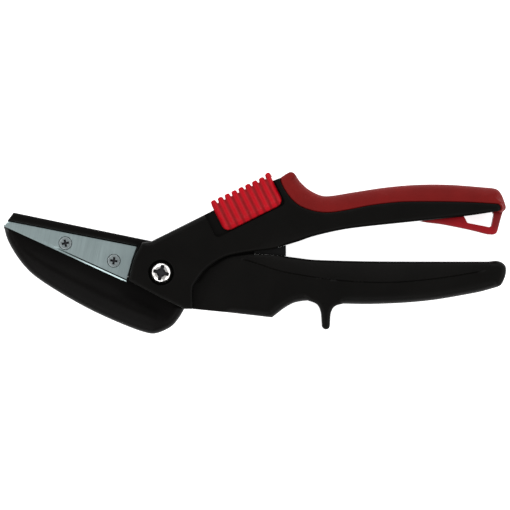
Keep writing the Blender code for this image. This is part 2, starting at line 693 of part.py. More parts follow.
def lock_slider():
    """The thumb saddle: a ribbed back, two flanks and a stem into the body."""
    u0, u1 = SLIDER_U
    comb = []
    rib_at = [u0 + 1.6 + RIB_PITCH * i for i in range(RIB_COUNT)]
    for i, u in enumerate(rib_at):
        top = 20.8 if i == RIB_COUNT - 1 else 20.2
        comb += [(u - 0.95, 18.4), (u - 0.7, top), (u + 0.7, top), (u + 0.95, 18.4)]
    lower = arc((u1 - 4, 7.4), 4.0, 0, -90, 5) + arc((u0 + 4, 7.4), 4.0, 270, 180, 5)
    outline = [slide_to_xy(u, v) for u, v in comb + [(u1, 18.2)] + lower + [(u0, 18.2)]]
    obj = block("lock_slider", outline, 0.9, 21.1)
    cut(obj, block("saddle_room", slide_box(u0 - 2, u1 + 2, -2.0, 16.5), 2.3, 19.7))
    for i, u in enumerate(rib_at):
        for side, (z0, z1) in (("front", (20.8, 21.8)), ("rear", (0.2, 1.2))):
            add(obj, block(f"rib_{side}_{i}", slide_box(u - 0.8, u + 0.8, 6.0, 18.3), z0, z1))
    add(obj, block("slider_stem", slide_box(52.0, 61.0, 5.4, 17.0), 9.2, 12.2))
    cut(obj, cylinder("stem_bore", slide_to_xy(*LOCK_PIN_AT), LOCK_PIN_RADIUS + FIT_GAP, 0, 14, 16))
    return obj


def lock_bar():
    """The flat bar whose nose stands in front of the lever's tooth when locked."""
    obj = block("lock_bar", slide_box(18.4, LOCK_PIN_AT[0], 6.0, 7.7), 12.5, 15.5)
    eye = slide_to_xy(*LOCK_PIN_AT)
    add(obj, cylinder("bar_eye", eye, 2.6, 12.5, 15.5, 20))
    cut(obj, cylinder("bar_bore", eye, LOCK_PIN_RADIUS + FIT_GAP, 0, 24, 16))
    return obj


def lock_pin():
    return cylinder("lock_pin", slide_to_xy(*LOCK_PIN_AT), LOCK_PIN_RADIUS, 9.2, 15.5, 16)


# ---------------------------------------------------------------- assembly

def paint(objects, colour, roughness, metallic, name):
    """One material for each object, all of the same make."""
    for obj in objects:
        mat = material(f"{name}_{obj.name}", colour, roughness, metallic)
        obj.data.materials.clear()
        obj.data.materials.append(mat)


def frame_for(name, children):
    """An empty on the joint's axis that carries the pieces that move together."""
    empty = bpy.data.objects.new(name, None)
    bpy.context.scene.collection.objects.link(empty)
    for child in children:
        child.parent = empty
    return empty


def shell_screws(name, places):
    """The screws of one handle, driven from the rear."""
    return [screw(f"{name}_{i + 1}", c, SCREW_HEAD, SCREW_SHANK, SCREW_FACE, SCREW_TIP)
            for i, c in enumerate(places)]


def blade_screws():
    face = CUT_PLANE + FIT_GAP + BLADE_THICKNESS
    return [screw(f"blade_screw_{i + 1}", c, BLADE_SCREW_HEAD, BLADE_SCREW_SHANK, face, 5.2, 0.5)
            for i, c in enumerate(BLADE_SCREWS)]


def main():
    for obj in list(bpy.data.objects):
        bpy.data.objects.remove(obj, do_unlink=True)
    plastic = [body_front_shell(), body_rear_shell(), lower_jaw(), lever_core(),
               handle_front_shell(), handle_rear_shell()]
    steel = [blade_plate(), counter_blade()]
    fasteners = [pivot_bolt(), pivot_nut(), *shell_screws("shell_screw", SHELL_SCREWS),
                 *shell_screws("handle_screw", HANDLE_SCREWS), *blade_screws()]
    inner = [*pivot_rings(), return_spring(), lock_bar(), lock_pin()]
    slider, grip, loop, bumper = lock_slider(), upper_grip(), hang_loop(), stop_bumper()
    paint(plastic, (0.010, 0.009, 0.008), 0.5, 0.0, "black")
    paint(steel, (0.30, 0.36, 0.38), 0.32, 1.0, "blade_steel")
    paint(fasteners, (0.55, 0.54, 0.52), 0.3, 1.0, "zinc_steel")
    paint(inner, (0.35, 0.35, 0.35), 0.4, 1.0, "plain_steel")
    paint([slider, loop], (0.42, 0.012, 0.025), 0.4, 0.0, "bright_red")
    paint([grip], (0.20, 0.016, 0.018), 0.6, 0.0, "soft_red")
    paint([bumper], (0.012, 0.012, 0.012), 0.8, 0.0, "rubber")
    lever = [plastic[3], plastic[4], plastic[5], steel[0]]
    lever += [o for o in fasteners if o.name.startswith(("handle_screw", "blade_screw"))]
    frame_for("lever_pivot", lever)
    frame_for("lock_slide", [slider, inner[4], inner[5]])


main()
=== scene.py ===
"""The looks of the bypass pruning shears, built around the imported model.

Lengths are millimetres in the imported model's frame, and become metres in the meshes. The
origin is on the pivot axis in the plane that the shears rest on, +X runs to the handles and
+Z comes out of the front face.
"""

import math

import bmesh
import bpy
import numpy as np
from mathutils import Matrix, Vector, geometry


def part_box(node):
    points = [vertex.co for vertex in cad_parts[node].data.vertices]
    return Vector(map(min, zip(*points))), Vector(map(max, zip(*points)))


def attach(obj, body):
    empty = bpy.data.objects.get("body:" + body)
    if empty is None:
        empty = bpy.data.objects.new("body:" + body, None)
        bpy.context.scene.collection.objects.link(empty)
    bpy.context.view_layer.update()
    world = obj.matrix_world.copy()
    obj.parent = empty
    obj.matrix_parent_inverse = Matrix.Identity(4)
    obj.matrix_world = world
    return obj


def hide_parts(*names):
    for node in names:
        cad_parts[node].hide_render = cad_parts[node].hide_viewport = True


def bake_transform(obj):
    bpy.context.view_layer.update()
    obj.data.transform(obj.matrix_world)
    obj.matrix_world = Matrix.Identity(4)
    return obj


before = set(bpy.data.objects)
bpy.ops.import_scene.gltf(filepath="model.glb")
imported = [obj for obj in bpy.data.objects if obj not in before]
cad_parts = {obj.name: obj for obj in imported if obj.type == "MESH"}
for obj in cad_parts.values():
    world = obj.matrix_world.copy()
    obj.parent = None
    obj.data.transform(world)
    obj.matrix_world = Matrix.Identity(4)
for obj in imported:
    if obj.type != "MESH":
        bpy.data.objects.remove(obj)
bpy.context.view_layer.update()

MM = 0.001


def level(node, end=0):
    """The lowest (0) or highest (1) Z of a CAD node, in millimetres."""
    return round(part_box(node)[end].z / MM, 3)


# Levels through the thickness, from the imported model.
THICKNESS = level("body_front_shell", 1)
PARTING_GAP = 0.15
PARTING = level("body_front_shell") - PARTING_GAP
CUT_PLANE = level("counter_blade", 1)
HEAD_TOP = level("lever_core", 1)
PLATE_LOW = level("blade_plate")
PLATE_TOP = level("blade_plate", 1)
BOLT_TOP = level("pivot_bolt", 1)
NUT_TOP = level("pivot_nut", 1)
SCREW_FACE = level("shell_screw_1")
SCREW_TIP = level("shell_screw_1", 1)

# Sizes. Most of them repeat the part's own.
FIT_GAP = 0.3
SEAM_GAP = 0.04
CONTACT_GAP = 0.01
CHEEK_IN_FRONT = 17.3
CHEEK_IN_REAR = 4.2
CORE_TOP = 15.0
BED_FLOOR = 19.4
RECESS_FLOOR = 18.3
CROSS_FLOOR = 19.3
HEAD_RADIUS = 10.2
SWEEP_RADIUS = 19.4
HANDLE_START_RADIUS = 25.2
FRONT_FALL_RADIUS = 58.0
REAR_FALL_RADIUS = 37.0
SLEEVE_RADIUS = 4.5
WASHER_ROOM_RADIUS = 8.3
BOLT_RADIUS = 3.0
BOLT_HEAD_RADIUS = 5.5
NUT_RADIUS = 5.8
SLIDE_ANGLE = math.radians(26.5)
SLIDE_TRAVEL = 5.0
SLIDER_U = (37.6, 70.6)
RIB_COUNT = 9
RIB_PITCH = 3.8
FIRST_RIB_U = SLIDER_U[0] + 1.6
LOCK_PIN_U = 57.0
LIP_END = 46.4
LIP_LEVELS = (15.9, 16.6)
SPRING_AT = 40.0
SPRING_ENDS = (1.2, 15.8)
SPRING_BORE = 4.6
SPRING_TURNS = 6.0
SPRING_RADIUS = 3.6
SPRING_WIRE = 0.55
SHELL_SCREWS = ((16.3, 21.0), (52.0, 17.5), (84.0, 25.2), (120.6, 30.0))
HANDLE_SCREWS = ((34.0, -8.0), (68.0, -8.0), (140.0, -4.5))
BLADE_SCREWS = ((-48.1, 14.7), (-23.8, 5.9))
SCREW_HEAD = 2.8
SCREW_SHANK = 1.4
BLADE_SCREW_HEAD = 3.1
BLADE_SCREW_SHANK = 1.6
LAND = 0.7
GROOVE_AT = 1.05
GROOVE_HALF_WIDTH = 0.3

# Outlines: smooth curves through these points.
CUTTING_EDGE = ((-79.0, 23.3), (-17.6, -4.8))
JAW_EDGE = ((-79.0, 24.0), (-10.3, -5.1))
LOBE_BELLY = ((-79.2, 22.6), (-77.3, 16.3), (-73.3, 9.1), (-68.3, 2.6), (-62.3, -2.8),
              (-50.3, -10.6), (-35.3, -18.9), (-20.3, -25.7), (-8.3, -30.1), (-2.3, -30.5),
              (4.7, -27.3), (8.7, -22.9), (11.5, -18.2))
LOBE_SWELL = ((-72.0, 16.2), (-74.0, 12.5), (-62.0, -0.3), (-50.3, -8.0), (-35.3, -16.2),
              (-20.3, -23.0), (-8.0, -27.4), (-1.0, -27.6), (3.4, -24.4), (1.0, -18.6))
CHEEK_STEP = ((-15.8, -4.1), (-10.0, -7.3), (-0.4, -12.4), (9.2, -16.9), (11.5, -18.2))
CHEEK_SIDE = ((-9.4, 15.1), (-13.8, 6.2), (-15.7, -2.2), (-15.8, -4.1))
HEAD_ARC = ((15.9, -15.5), (15.9, -7.8), (17.8, -4.0), (21.7, 1.2), (26.8, 5.2),
            (32.6, 8.2), (39.0, 9.7), (46.0, 10.7), (55.0, 11.8), (61.2, 13.3))
UPPER_UNDERSIDE = ((61.2, 13.3), (68.7, 15.6), (76.7, 18.3), (88.7, 21.1), (100.0, 22.8),
                   (124.7, 25.4), (151.5, 28.2), (166.3, 30.3))
UPPER_TIP = ((168.6, 34.2), (169.8, 32.6), (169.0, 31.0), (166.3, 30.3))
UPPER_CREASE = ((44.1, 12.1), (48.6, 14.6), (55.0, 17.5), (61.4, 19.4), (67.8, 20.7),
                (80.0, 22.6))
GRIP_SEAM = ((168.6, 34.2), (153.1, 35.1), (137.2, 35.4), (122.8, 35.3), (113.3, 34.6),
             (103.7, 33.3), (94.1, 31.4), (86.2, 30.1), (79.8, 30.1), (74.2, 31.3),
             (69.4, 33.3), (65.4, 36.5), (62.0, 41.0), (59.6, 45.6))
GRIP_BACK = ((59.7, 47.4), (62.0, 49.0), (64.3, 50.3), (66.1, 50.1), (67.5, 48.7),
             (69.5, 45.7), (73.4, 42.0), (79.0, 39.0), (84.5, 38.4), (96.7, 40.3),
             (112.7, 42.7), (128.5, 44.0), (144.5, 44.0), (160.7, 42.8), (167.5, 42.0),
             (170.3, 39.6), (172.2, 35.0), (172.7, 32.2), (171.1, 30.2))
LOWER_HEAD = ((16.5, -15.5), (16.5, -7.9), (18.4, -4.3), (22.1, 0.8), (27.1, 4.6),
              (32.7, 7.5), (39.0, 8.9), (46.0, 9.3), (55.0, 8.9), (61.2, 8.3))
LOWER_TOP = ((61.2, 8.3), (68.7, 7.3), (76.7, 6.4), (92.0, 5.9), (108.7, 5.6),
             (140.7, 5.5), (164.7, 5.5))
LOWER_END = ((164.7, 5.5), (167.6, 5.9), (170.2, 5.3), (172.2, 3.6), (172.7, 1.2),
             (172.3, -1.6), (171.3, -4.2), (170.1, -6.2), (168.4, -7.2))
LOWER_BELLY = ((168.4, -7.2), (160.7, -9.4), (152.7, -11.0), (136.7, -13.7),
               (120.7, -15.2), (104.0, -15.8), (91.0, -15.6))
LOWER_CREASE = ((36.0, 8.2), (40.3, 7.0), (48.6, 4.4), (58.2, 1.2), (69.4, -1.1),
                (89.4, -3.9), (109.3, -4.9), (125.2, -4.3), (145.2, -1.9), (161.1, 0.9),
                (169.1, 2.9))
FINGER_SCALLOP = ((73.4, -14.0), (69.8, -14.4), (66.1, -15.3), (61.9, -17.6), (58.2, -20.4),
                  (55.5, -22.5))
HOOK_NEAR = ((73.4, -14.0), (77.9, -15.9), (79.9, -19.6), (80.5, -26.4))
HOOK_FAR = ((84.5, -26.4), (85.0, -20.2), (87.0, -16.9), (91.0, -15.6))
HOOK_TIP = (82.5, -26.5)
CORE_TAIL = ((9.7, 3.0), (14.0, -1.5), (18.4, -3.8), (22.1, 0.4), (27.1, 4.1), (31.0, 5.6),
             (33.0, 0.0), (60.0, -4.0), (108.0, -5.5), (118.0, -8.0), (108.0, -10.5),
             (60.0, -11.5), (48.0, -15.0), (30.0, -17.0), (17.4, -17.6), (12.0, -14.5),
             (4.0, -9.3))


# ---- lines in the plane

BATCH = 1500


def curve(points, steps=8):
    """Points along a smooth curve through the given points, ends included."""
    pts = [Vector(p) for p in points]
    ends = [pts[0] * 2 - pts[1]] + pts + [pts[-1] * 2 - pts[-2]]
    out = []
    for i in range(1, len(ends) - 2):
        a, b, c, d = ends[i - 1:i + 3]
        for k in range(steps):
            t = k / steps
            out.append(0.5 * (2 * b + (c - a) * t + (2 * a - 5 * b + 4 * c - d) * t ** 2
                              + (3 * b - a - 3 * c + d) * t ** 3))
    out.append(pts[-1])
    return [tuple(p) for p in out]


def arc(centre, radius, start, end, steps=12):
    """Points on an arc, angles in degrees."""
    out = []
    for k in range(steps + 1):
        a = math.radians(start + (end - start) * k / steps)
        out.append((centre[0] + radius * math.cos(a), centre[1] + radius * math.sin(a)))
    return out


def circle(centre, radius, steps=48):
    return arc(centre, radius, 0, 360, steps)[:-1]


def joined_open(*runs):
    """One open run from several, without doubled points."""
    out = []
    for run in runs:
        for p in run:
            if not out or math.dist(p, out[-1]) > 0.05:
                out.append(tuple(p))
    return out


def joined(*runs):
    """One closed outline from several runs, without doubled points."""
    out = joined_open(*runs)
    while math.dist(out[0], out[-1]) <= 0.05:
        out.pop()
    return out


def offset(run, amount):
    """An open run of points moved to its left by an amount."""
    out = []
    for i, p in enumerate(run):
        before = Vector(run[max(i - 1, 0)])
        after = Vector(run[min(i + 1, len(run) - 1)])
        way = (after - before).normalized()
        out.append((p[0] - way.y * amount, p[1] + way.x * amount))
    return out


def line_y(line, x):
    """The height of a straight jaw line at x."""
    (x0, y0), (x1, y1) = line
    return y0 + (y1 - y0) * (x - x0) / (x1 - x0)


def on_slide(points):
    """Points given along (u) and across (v) the slide direction, as X and Y."""
    c, s = math.cos(SLIDE_ANGLE), math.sin(SLIDE_ANGLE)
    return [(u * c - v * s, u * s + v * c) for u, v in points]


def rectangle(x0, x1, y0, y1):
    return [(x0, y0), (x1, y0), (x1, y1), (x0, y1)]


def near_line(points, a, b=None):
    """Distance of each point to the nearest of the segments a-b, which one, and how far on.

    Without b, a is a closed loop.
    """
    b = np.roll(a, -1, 0) if b is None else b
    way = b - a
    size = np.maximum((way ** 2).sum(1), 1e-12)
    batches = []
    for start in range(0, max(len(points), 1), BATCH):
        p = points[start:start + BATCH, None, :]
        t = np.clip(((p - a) * way).sum(2) / size, 0, 1)
        gap = np.sqrt(((p - a - t[..., None] * way) ** 2).sum(2))
        nearest = gap.argmin(1)
        rows = np.arange(len(nearest))
        batches.append((gap[rows, nearest], nearest, t[rows, nearest]))
    return [np.concatenate(values) for values in zip(*batches)]


def inside(points, loop):
    """Which points lie inside a closed loop."""
    a = np.asarray(loop, float)
    b = np.roll(a, -1, 0)
    out = np.zeros(len(points), bool)
    for (x0, y0), (x1, y1) in zip(a, b):
        if y0 == y1:
            continue
        crosses = (points[:, 1] > y0) != (points[:, 1] > y1)
        x = x0 + (points[:, 1] - y0) * (x1 - x0) / (y1 - y0)
        out ^= crosses & (points[:, 0] < x)
    return out


def beside(points, line):
    """Signed distance to an open line: positive on its left."""
    pts = np.asarray(line, float)
    a, b = pts[:-1], pts[1:]
    distance, which, _ = near_line(points, a, b)
    way = (b - a)[which]
    gap = points - a[which]
    return distance * np.sign(way[:, 0] * gap[:, 1] - way[:, 1] * gap[:, 0])


def ease(t):
    t = np.clip(t, 0, 1)
    return t * t * (3 - 2 * t)


# ---- solids

RIM_STEP = 0.8
SMOOTH_ANGLE = 38.0
CREASE_HALF_WIDTH = 0.4
RING_SHARES = (0.05, 0.2, 0.45, 0.72, 1.0)


def rim_loop(runs):
    """Points around a closed rim no more than a step apart, and the rounding radii there.

    runs holds (points, front radius, rear radius).
    """
    pts, radii = [], []
    for points, front, rear in runs:
        for p in points:
            if not pts or math.dist(p, pts[-1]) > 0.02:
                pts.append(tuple(p))
                radii.append((front, rear))
    while math.dist(pts[0], pts[-1]) <= 0.02:
        pts.pop()
        radii.pop()
    pts, radii = np.array(pts, float), np.array(radii, float)
    after = np.roll(pts, -1, 0)
    if (pts[:, 0] * after[:, 1] - after[:, 0] * pts[:, 1]).sum() < 0:
        pts, radii = pts[::-1], radii[::-1]
    fine, fine_radii = [], []
    for i in range(len(pts)):
        j = (i + 1) % len(pts)
        parts = max(1, math.ceil(np.linalg.norm(pts[j] - pts[i]) / RIM_STEP))
        for k in range(parts):
            fine.append(pts[i] + (pts[j] - pts[i]) * k / parts)
            fine_radii.append(radii[i])
    fine, fine_radii = np.array(fine), np.array(fine_radii)
    for _ in range(5):
        fine_radii = (np.roll(fine_radii, 1, 0) + fine_radii * 2 + np.roll(fine_radii, -1, 0)) / 4
    return fine, fine_radii


def rounding(distance, radius):
    """How far a quarter-round rim has dropped at a distance in from the edge."""
    left = np.clip(radius - distance, 0, radius)
    return radius - np.sqrt(np.maximum(radius ** 2 - left ** 2, 0))


def inwards_of(loop):
    """Unit normals at the points of a closed loop, towards its material."""
    tangent = np.roll(loop, -1, 0) - np.roll(loop, 1, 0)
    tangent /= np.linalg.norm(tangent, axis=1)[:, None]
    return np.stack([-tangent[:, 1], tangent[:, 0]], 1)


def grown(outline, amount):
    """A closed outline moved outwards by an amount."""
    loop, _ = rim_loop([(outline, 0, 0)])
    return [tuple(p) for p in loop - inwards_of(loop) * amount]


def ring_points(loop, radii):
    """Points inwards of a rim, closer together where its rounding is steep."""
    reach = radii.max(1)
    out = []
    for share in RING_SHARES:
        depth = reach * share
        keep = (depth > 0.06) & ((reach > 1.2) | (share in (0.2, 1.0)))
        ring = (loop + inwards_of(loop) * depth[:, None])[keep]
        out.append(ring[near_line(ring, loop)[0] > depth[keep] * 0.96])
    return np.concatenate(out)


def slab(name, runs, top, bottom, guides=(), spacing=1.8):
    """A closed solid between two modelled faces over an outline.

    top and bottom are heights, or functions that give the heights at an array of points.
    guides are extra lines that the mesh follows, such as creases. A coarse grid stays clear of
    the rim's rounding, and a fine one runs through it.
    """
    loop, radii = rim_loop(runs)
    low, high = loop.min(0), loop.max(0)
    rows = np.arange(low[1] + 0.13, high[1], spacing * 0.866)
    grid = np.array([(x + (k % 2) * spacing / 2, y) for k, y in enumerate(rows)
                     for x in np.arange(low[0] + 0.17, high[0], spacing)])
    gap, which, _ = near_line(grid, loop)
    reach = radii.max(1)[which] if spacing > 0.67 else 0.0
    keep = inside(grid, loop) & (gap > reach + spacing * 0.45)
    lines = [np.asarray(g, float) for g in guides]
    if lines:
        everything = np.concatenate(lines)
        for start in range(0, len(grid), BATCH):
            part = grid[start:start + BATCH, None, :]
            gap = np.sqrt(((part - everything) ** 2).sum(2)).min(1)
            keep[start:start + BATCH] &= gap > spacing * 0.4
    inner = [ring_points(loop, radii), grid[keep]]
    inner += [g[inside(g, loop) & (near_line(g, loop)[0] > 0.25)] for g in lines]
    coords = [Vector(p) for part in [loop] + inner for p in part]
    edges = [(i, (i + 1) % len(loop)) for i in range(len(loop))]
    flat, _, faces, _, _, _ = geometry.delaunay_2d_cdt(coords, edges, [], 0, 1e-6)
    flat = np.array([tuple(p) for p in flat])
    faces = np.array([tuple(f) for f in faces])
    faces = faces[inside(flat[faces].mean(1), loop)]
    used, faces = np.unique(faces, return_inverse=True)
    faces = faces.reshape(-1, 3)
    flat = flat[used]
    a, b, c = flat[faces[:, 0]], flat[faces[:, 1]], flat[faces[:, 2]]
    turn = (b - a)[:, 0] * (c - a)[:, 1] - (b - a)[:, 1] * (c - a)[:, 0]
    faces[turn < 0] = faces[turn < 0][:, ::-1]
    z_top = top(flat) if callable(top) else np.full(len(flat), float(top))
    z_low = bottom(flat) if callable(bottom) else np.full(len(flat), float(bottom))
    gap, which, along = near_line(flat, loop)
    here = radii[which] + (np.roll(radii, -1, 0) - radii)[which] * along[:, None]
    drops = rounding(gap[:, None], here)
    z_top, z_low = z_top - drops[:, 0], z_low + drops[:, 1]
    count = len(flat)
    verts = np.concatenate([np.column_stack([flat, z_top]), np.column_stack([flat, z_low])]) * MM
    faces = faces.tolist()
    sides = dict.fromkeys((f[k], f[(k + 1) % 3]) for f in faces for k in range(3))
    walls = [(j, i, i + count, j + count) for i, j in sides if (j, i) not in sides]
    rear = [tuple(i + count for i in reversed(f)) for f in faces]
    mesh = bpy.data.meshes.new(name)
    mesh.from_pydata(verts.tolist(), [], faces + rear + walls)
    return new_object(name, mesh)


def linked(name, data):
    """A new object in the scene."""
    obj = bpy.data.objects.new(name, data)
    bpy.context.scene.collection.objects.link(obj)
    return obj


def new_object(name, mesh, smooth_angle=SMOOTH_ANGLE):
    mesh.validate()
    mesh.shade_smooth()
    mesh.set_sharp_from_angle(angle=math.radians(smooth_angle))
    return linked(name, mesh)


def from_bmesh(name, bm, smooth_angle=SMOOTH_ANGLE):
    """A mesh object in metres from a bmesh in millimetres."""
    bmesh.ops.scale(bm, vec=(MM, MM, MM), verts=bm.verts)
    bmesh.ops.recalc_face_normals(bm, faces=bm.faces)
    mesh = bpy.data.meshes.new(name)
    bm.to_mesh(mesh)
    bm.free()
    return new_object(name, mesh, smooth_angle)


def skinned(name, loops, smooth_angle=SMOOTH_ANGLE):
    """A closed solid through loops of points, one after another."""
    bm = bmesh.new()
    rings = [[bm.verts.new(p) for p in loop] for loop in loops]
    bm.faces.new(rings[0])
    bm.faces.new(rings[-1])
    for near, far in zip(rings, rings[1:]):
        for i in range(len(near)):
            j = (i + 1) % len(near)
            bm.faces.new((near[i], near[j], far[j], far[i]))
    return from_bmesh(name, bm, smooth_angle)


def block(outline, z0, z1):
    """A plain prism, used as a cutter or as a hidden lug."""
    return skinned("tool", [[(x, y, z) for x, y in outline] for z in (z0, z1)])


def slide_block(u0, u1, v0, v1, z0, z1):
    """A box along the slide direction."""
    return block(on_slide(rectangle(u0, u1, v0, v1)), z0, z1)


def turned(name, profile, centres=((0.0, 0.0),), segments=64):
    """A solid of revolution from (radius, z) pairs, at each of the given places."""
    bm = bmesh.new()
    for cx, cy in centres:
        rings = []
        for radius, z in profile:
            ring = circle((cx, cy), radius, segments) if radius else [(cx, cy)]
            rings.append([bm.verts.new((x, y, z)) for x, y in ring])
        pairs = list(zip(rings, rings[1:]))
        if len(rings[0]) > 1:
            pairs.append((rings[-1], rings[0]))
        for low, high in pairs:
            for k in range(segments):
                n = (k + 1) % segments
                around = ((low, k), (low, n), (high, n), (high, k))
                corners = dict.fromkeys(ring[i % len(ring)] for ring, i in around)
                bm.faces.new(list(corners))
    return from_bmesh(name, bm)


def drum(radius, z0, z1, centres=((0.0, 0.0),), segments=64):
    return turned("tool", [(0.0, z0), (radius, z0), (radius, z1), (0.0, z1)], centres, segments)


def spring_bore(y0, y1):
    """The room for the spring's end, along Y."""
    ring = circle((SPRING_AT, PARTING), SPRING_BORE, 40)
    return skinned("tool", [[(x, y, z) for x, z in ring] for y in (y0, y1)])


def shaped(obj, joins=(), cutters=()):
    """Joins solids to a piece, cuts others out of it, and keeps the result as its mesh."""
    for tool in joins:
        mod = obj.modifiers.new("join", "BOOLEAN")
        mod.operation = "UNION"
        mod.solver = "EXACT"
        mod.object = tool
    group = bpy.data.collections.new("cutters")
    for tool in cutters:
        group.objects.link(tool)
    if cutters:
        mod = obj.modifiers.new("cut", "BOOLEAN")
        mod.operation = "DIFFERENCE"
        mod.solver = "EXACT"
        mod.operand_type = "COLLECTION"
        mod.collection = group
    bpy.context.view_layer.update()
    evaluated = obj.evaluated_get(bpy.context.evaluated_depsgraph_get())
    mesh = bpy.data.meshes.new_from_object(evaluated)
    obj.modifiers.clear()
    old = obj.data
    obj.data = mesh
    bpy.data.meshes.remove(old)
    for tool in list(joins) + list(cutters):
        bpy.data.objects.remove(tool, do_unlink=True)
    bpy.data.collections.remove(group)
    mesh.materials.clear()
    mesh.shade_smooth()
    mesh.set_sharp_from_angle(angle=math.radians(SMOOTH_ANGLE))
    return obj


def cross_cutter(centre, reach, width, z0, z1, turn):
    """A plus-shaped cutter for a cross-head screw, narrower at its floor (z0)."""
    loops = []
    for z, shrink in ((z0, 0.55), (z1, 1.0)):
        pts = []
        for quarter in range(4):
            a = turn + quarter * math.pi / 2
            along = Vector((math.cos(a), math.sin(a)))
            side = Vector((-along.y, along.x))
            w, r = width * (0.6 + 0.4 * shrink), reach * shrink
            for p in (along * r - side * w, along * r + side * w, (along + side) * w):
                pts.append((centre[0] + p.x, centre[1] + p.y, z))
        loops.append(pts)
    return skinned("tool", loops)


def sink_profile(head, shank, z_head, z_end):
    """The profile of a countersunk hole, open at the head."""
    way = 1.0 if z_end > z_head else -1.0
    head, shank = head + FIT_GAP, shank + FIT_GAP
    return [(0.0, z_head - way * 2), (head + 0.25, z_head - way * 2),
            (head + 0.25, z_head - way * 0.9), (head, z_head - way * 0.6),
            (head, z_head + way * 0.7), (shank, z_head + way * (0.7 + head - shank)),
            (shank, z_end), (0.0, z_end)]


def screw_holes(centres):
    """The holes of the screws that hold a pair of shells together."""
    profile = sink_profile(SCREW_HEAD, SCREW_SHANK, SCREW_FACE, SCREW_TIP + 0.4)
    return turned("tool", profile, centres, 40)


# ---- materials

def tree_of(name, metallic=0.0, specular=0.5):
    mat = bpy.data.materials.new(name)
    mat.use_nodes = True
    shader = mat.node_tree.nodes["Principled BSDF"]
    shader.inputs["Metallic"].default_value = metallic
    shader.inputs["Specular IOR Level"].default_value = specular
    shader.inputs["IOR"].default_value = 1.5
    return mat, mat.node_tree, shader


def noise(tree, per_mm, detail=3.0, rough=0.55, stretch=(1.0, 1.0, 1.0), turn=0.0):
    """Noise of the object's own space. stretch draws it out along a direction at turn."""
    nodes, links = tree.nodes, tree.links
    where = nodes.new("ShaderNodeTexCoord")
    mapping = nodes.new("ShaderNodeMapping")
    mapping.vector_type = "TEXTURE"
    mapping.inputs["Rotation"].default_value = (0.0, 0.0, turn)
    mapping.inputs["Scale"].default_value = stretch
    texture = nodes.new("ShaderNodeTexNoise")
    texture.inputs["Scale"].default_value = per_mm / MM
    texture.inputs["Detail"].default_value = detail
    texture.inputs["Roughness"].default_value = rough
    links.new(where.outputs["Object"], mapping.inputs["Vector"])
    links.new(mapping.outputs["Vector"], texture.inputs["Vector"])
    return texture.outputs["Fac"]


def ranged(tree, value, low, high, start=0.3, end=0.7):
    """A value spread over a new range."""
    node = tree.nodes.new("ShaderNodeMapRange")
    node.inputs["From Min"].default_value = start
    node.inputs["From Max"].default_value = end
    node.inputs["To Min"].default_value = low
    node.inputs["To Max"].default_value = high
    tree.links.new(value, node.inputs["Value"])
    return node.outputs["Result"]


def blended(tree, value, one, two):
    """A colour between two colours, by a value."""
    node = tree.nodes.new("ShaderNodeMix")
    node.data_type = "RGBA"
    for socket, colour in ((node.inputs[6], one), (node.inputs[7], two)):
        if isinstance(colour, tuple):
            socket.default_value = (*colour, 1.0)
        else:
            tree.links.new(colour, socket)
    tree.links.new(value, node.inputs[0])
    return node.outputs[2]


def finished(tree, shader, tint, spread, height, strength, depth=0.02):
    """Links a colour, a roughness and a relief (depth in millimetres) to a shader."""
    tree.links.new(tint, shader.inputs["Base Color"])
    tree.links.new(spread, shader.inputs["Roughness"])
    node = tree.nodes.new("ShaderNodeBump")
    node.inputs["Strength"].default_value = strength
    node.inputs["Distance"].default_value = depth * MM
    tree.links.new(height, node.inputs["Height"])
    tree.links.new(node.outputs["Normal"], shader.inputs["Normal"])


def moulded(name, dark, light, rough, specular, grain, strength):
    """Moulded plastic, with an eroded grain and faint patches."""
    mat, tree, shader = tree_of(name, 0.0, specular)
    fine = noise(tree, grain, 4.0, 0.65)
    tint = blended(tree, ranged(tree, noise(tree, 0.06), 0.0, 1.0), dark, light)
    spread = ranged(tree, fine, rough - 0.07, rough + 0.07)
    finished(tree, shader, tint, spread, fine, strength, 0.05)
    return mat


def ground_steel(name, dark, light, rough, turn, per_mm=2.2, strength=0.25):
    """Steel with fine grinding lines in one direction and soft cloudy stains."""
    mat, tree, shader = tree_of(name, 1.0)
    lines = noise(tree, per_mm, 5.0, 0.7, (60.0, 1.0, 1.0), turn)
    clouds = noise(tree, 0.12, 4.0, 0.6, (1.0, 2.5, 1.0), turn)
    streaks = blended(tree, ranged(tree, lines, 0.0, 1.0, 0.25, 0.75), dark, light)
    stained = blended(tree, ranged(tree, clouds, 0.0, 0.7), streaks, light)
    spread = ranged(tree, lines, rough - 0.09, rough + 0.09)
    finished(tree, shader, stained, spread, lines, strength)
    return mat


def plated(name, colour, rough):
    """Bright zinc plating: nearly even, with a faint mottle."""
    mat, tree, shader = tree_of(name, 1.0)
    mottle = noise(tree, 0.9, 4.0, 0.6)
    dull = tuple(c * 0.86 for c in colour)
    tint = blended(tree, ranged(tree, mottle, 0.0, 1.0), dull, colour)
    finished(tree, shader, tint, ranged(tree, mottle, rough - 0.05, rough + 0.09), mottle, 0.08)
    return mat


def calculated(tree, operation, *values):
    """A calculation with sockets or plain numbers."""
    node = tree.nodes.new("ShaderNodeMath")
    node.operation = operation
    for socket, value in zip(node.inputs, values):
        if isinstance(value, float):
            socket.default_value = value
        else:
            tree.links.new(value, socket)
    return node.outputs["Value"]


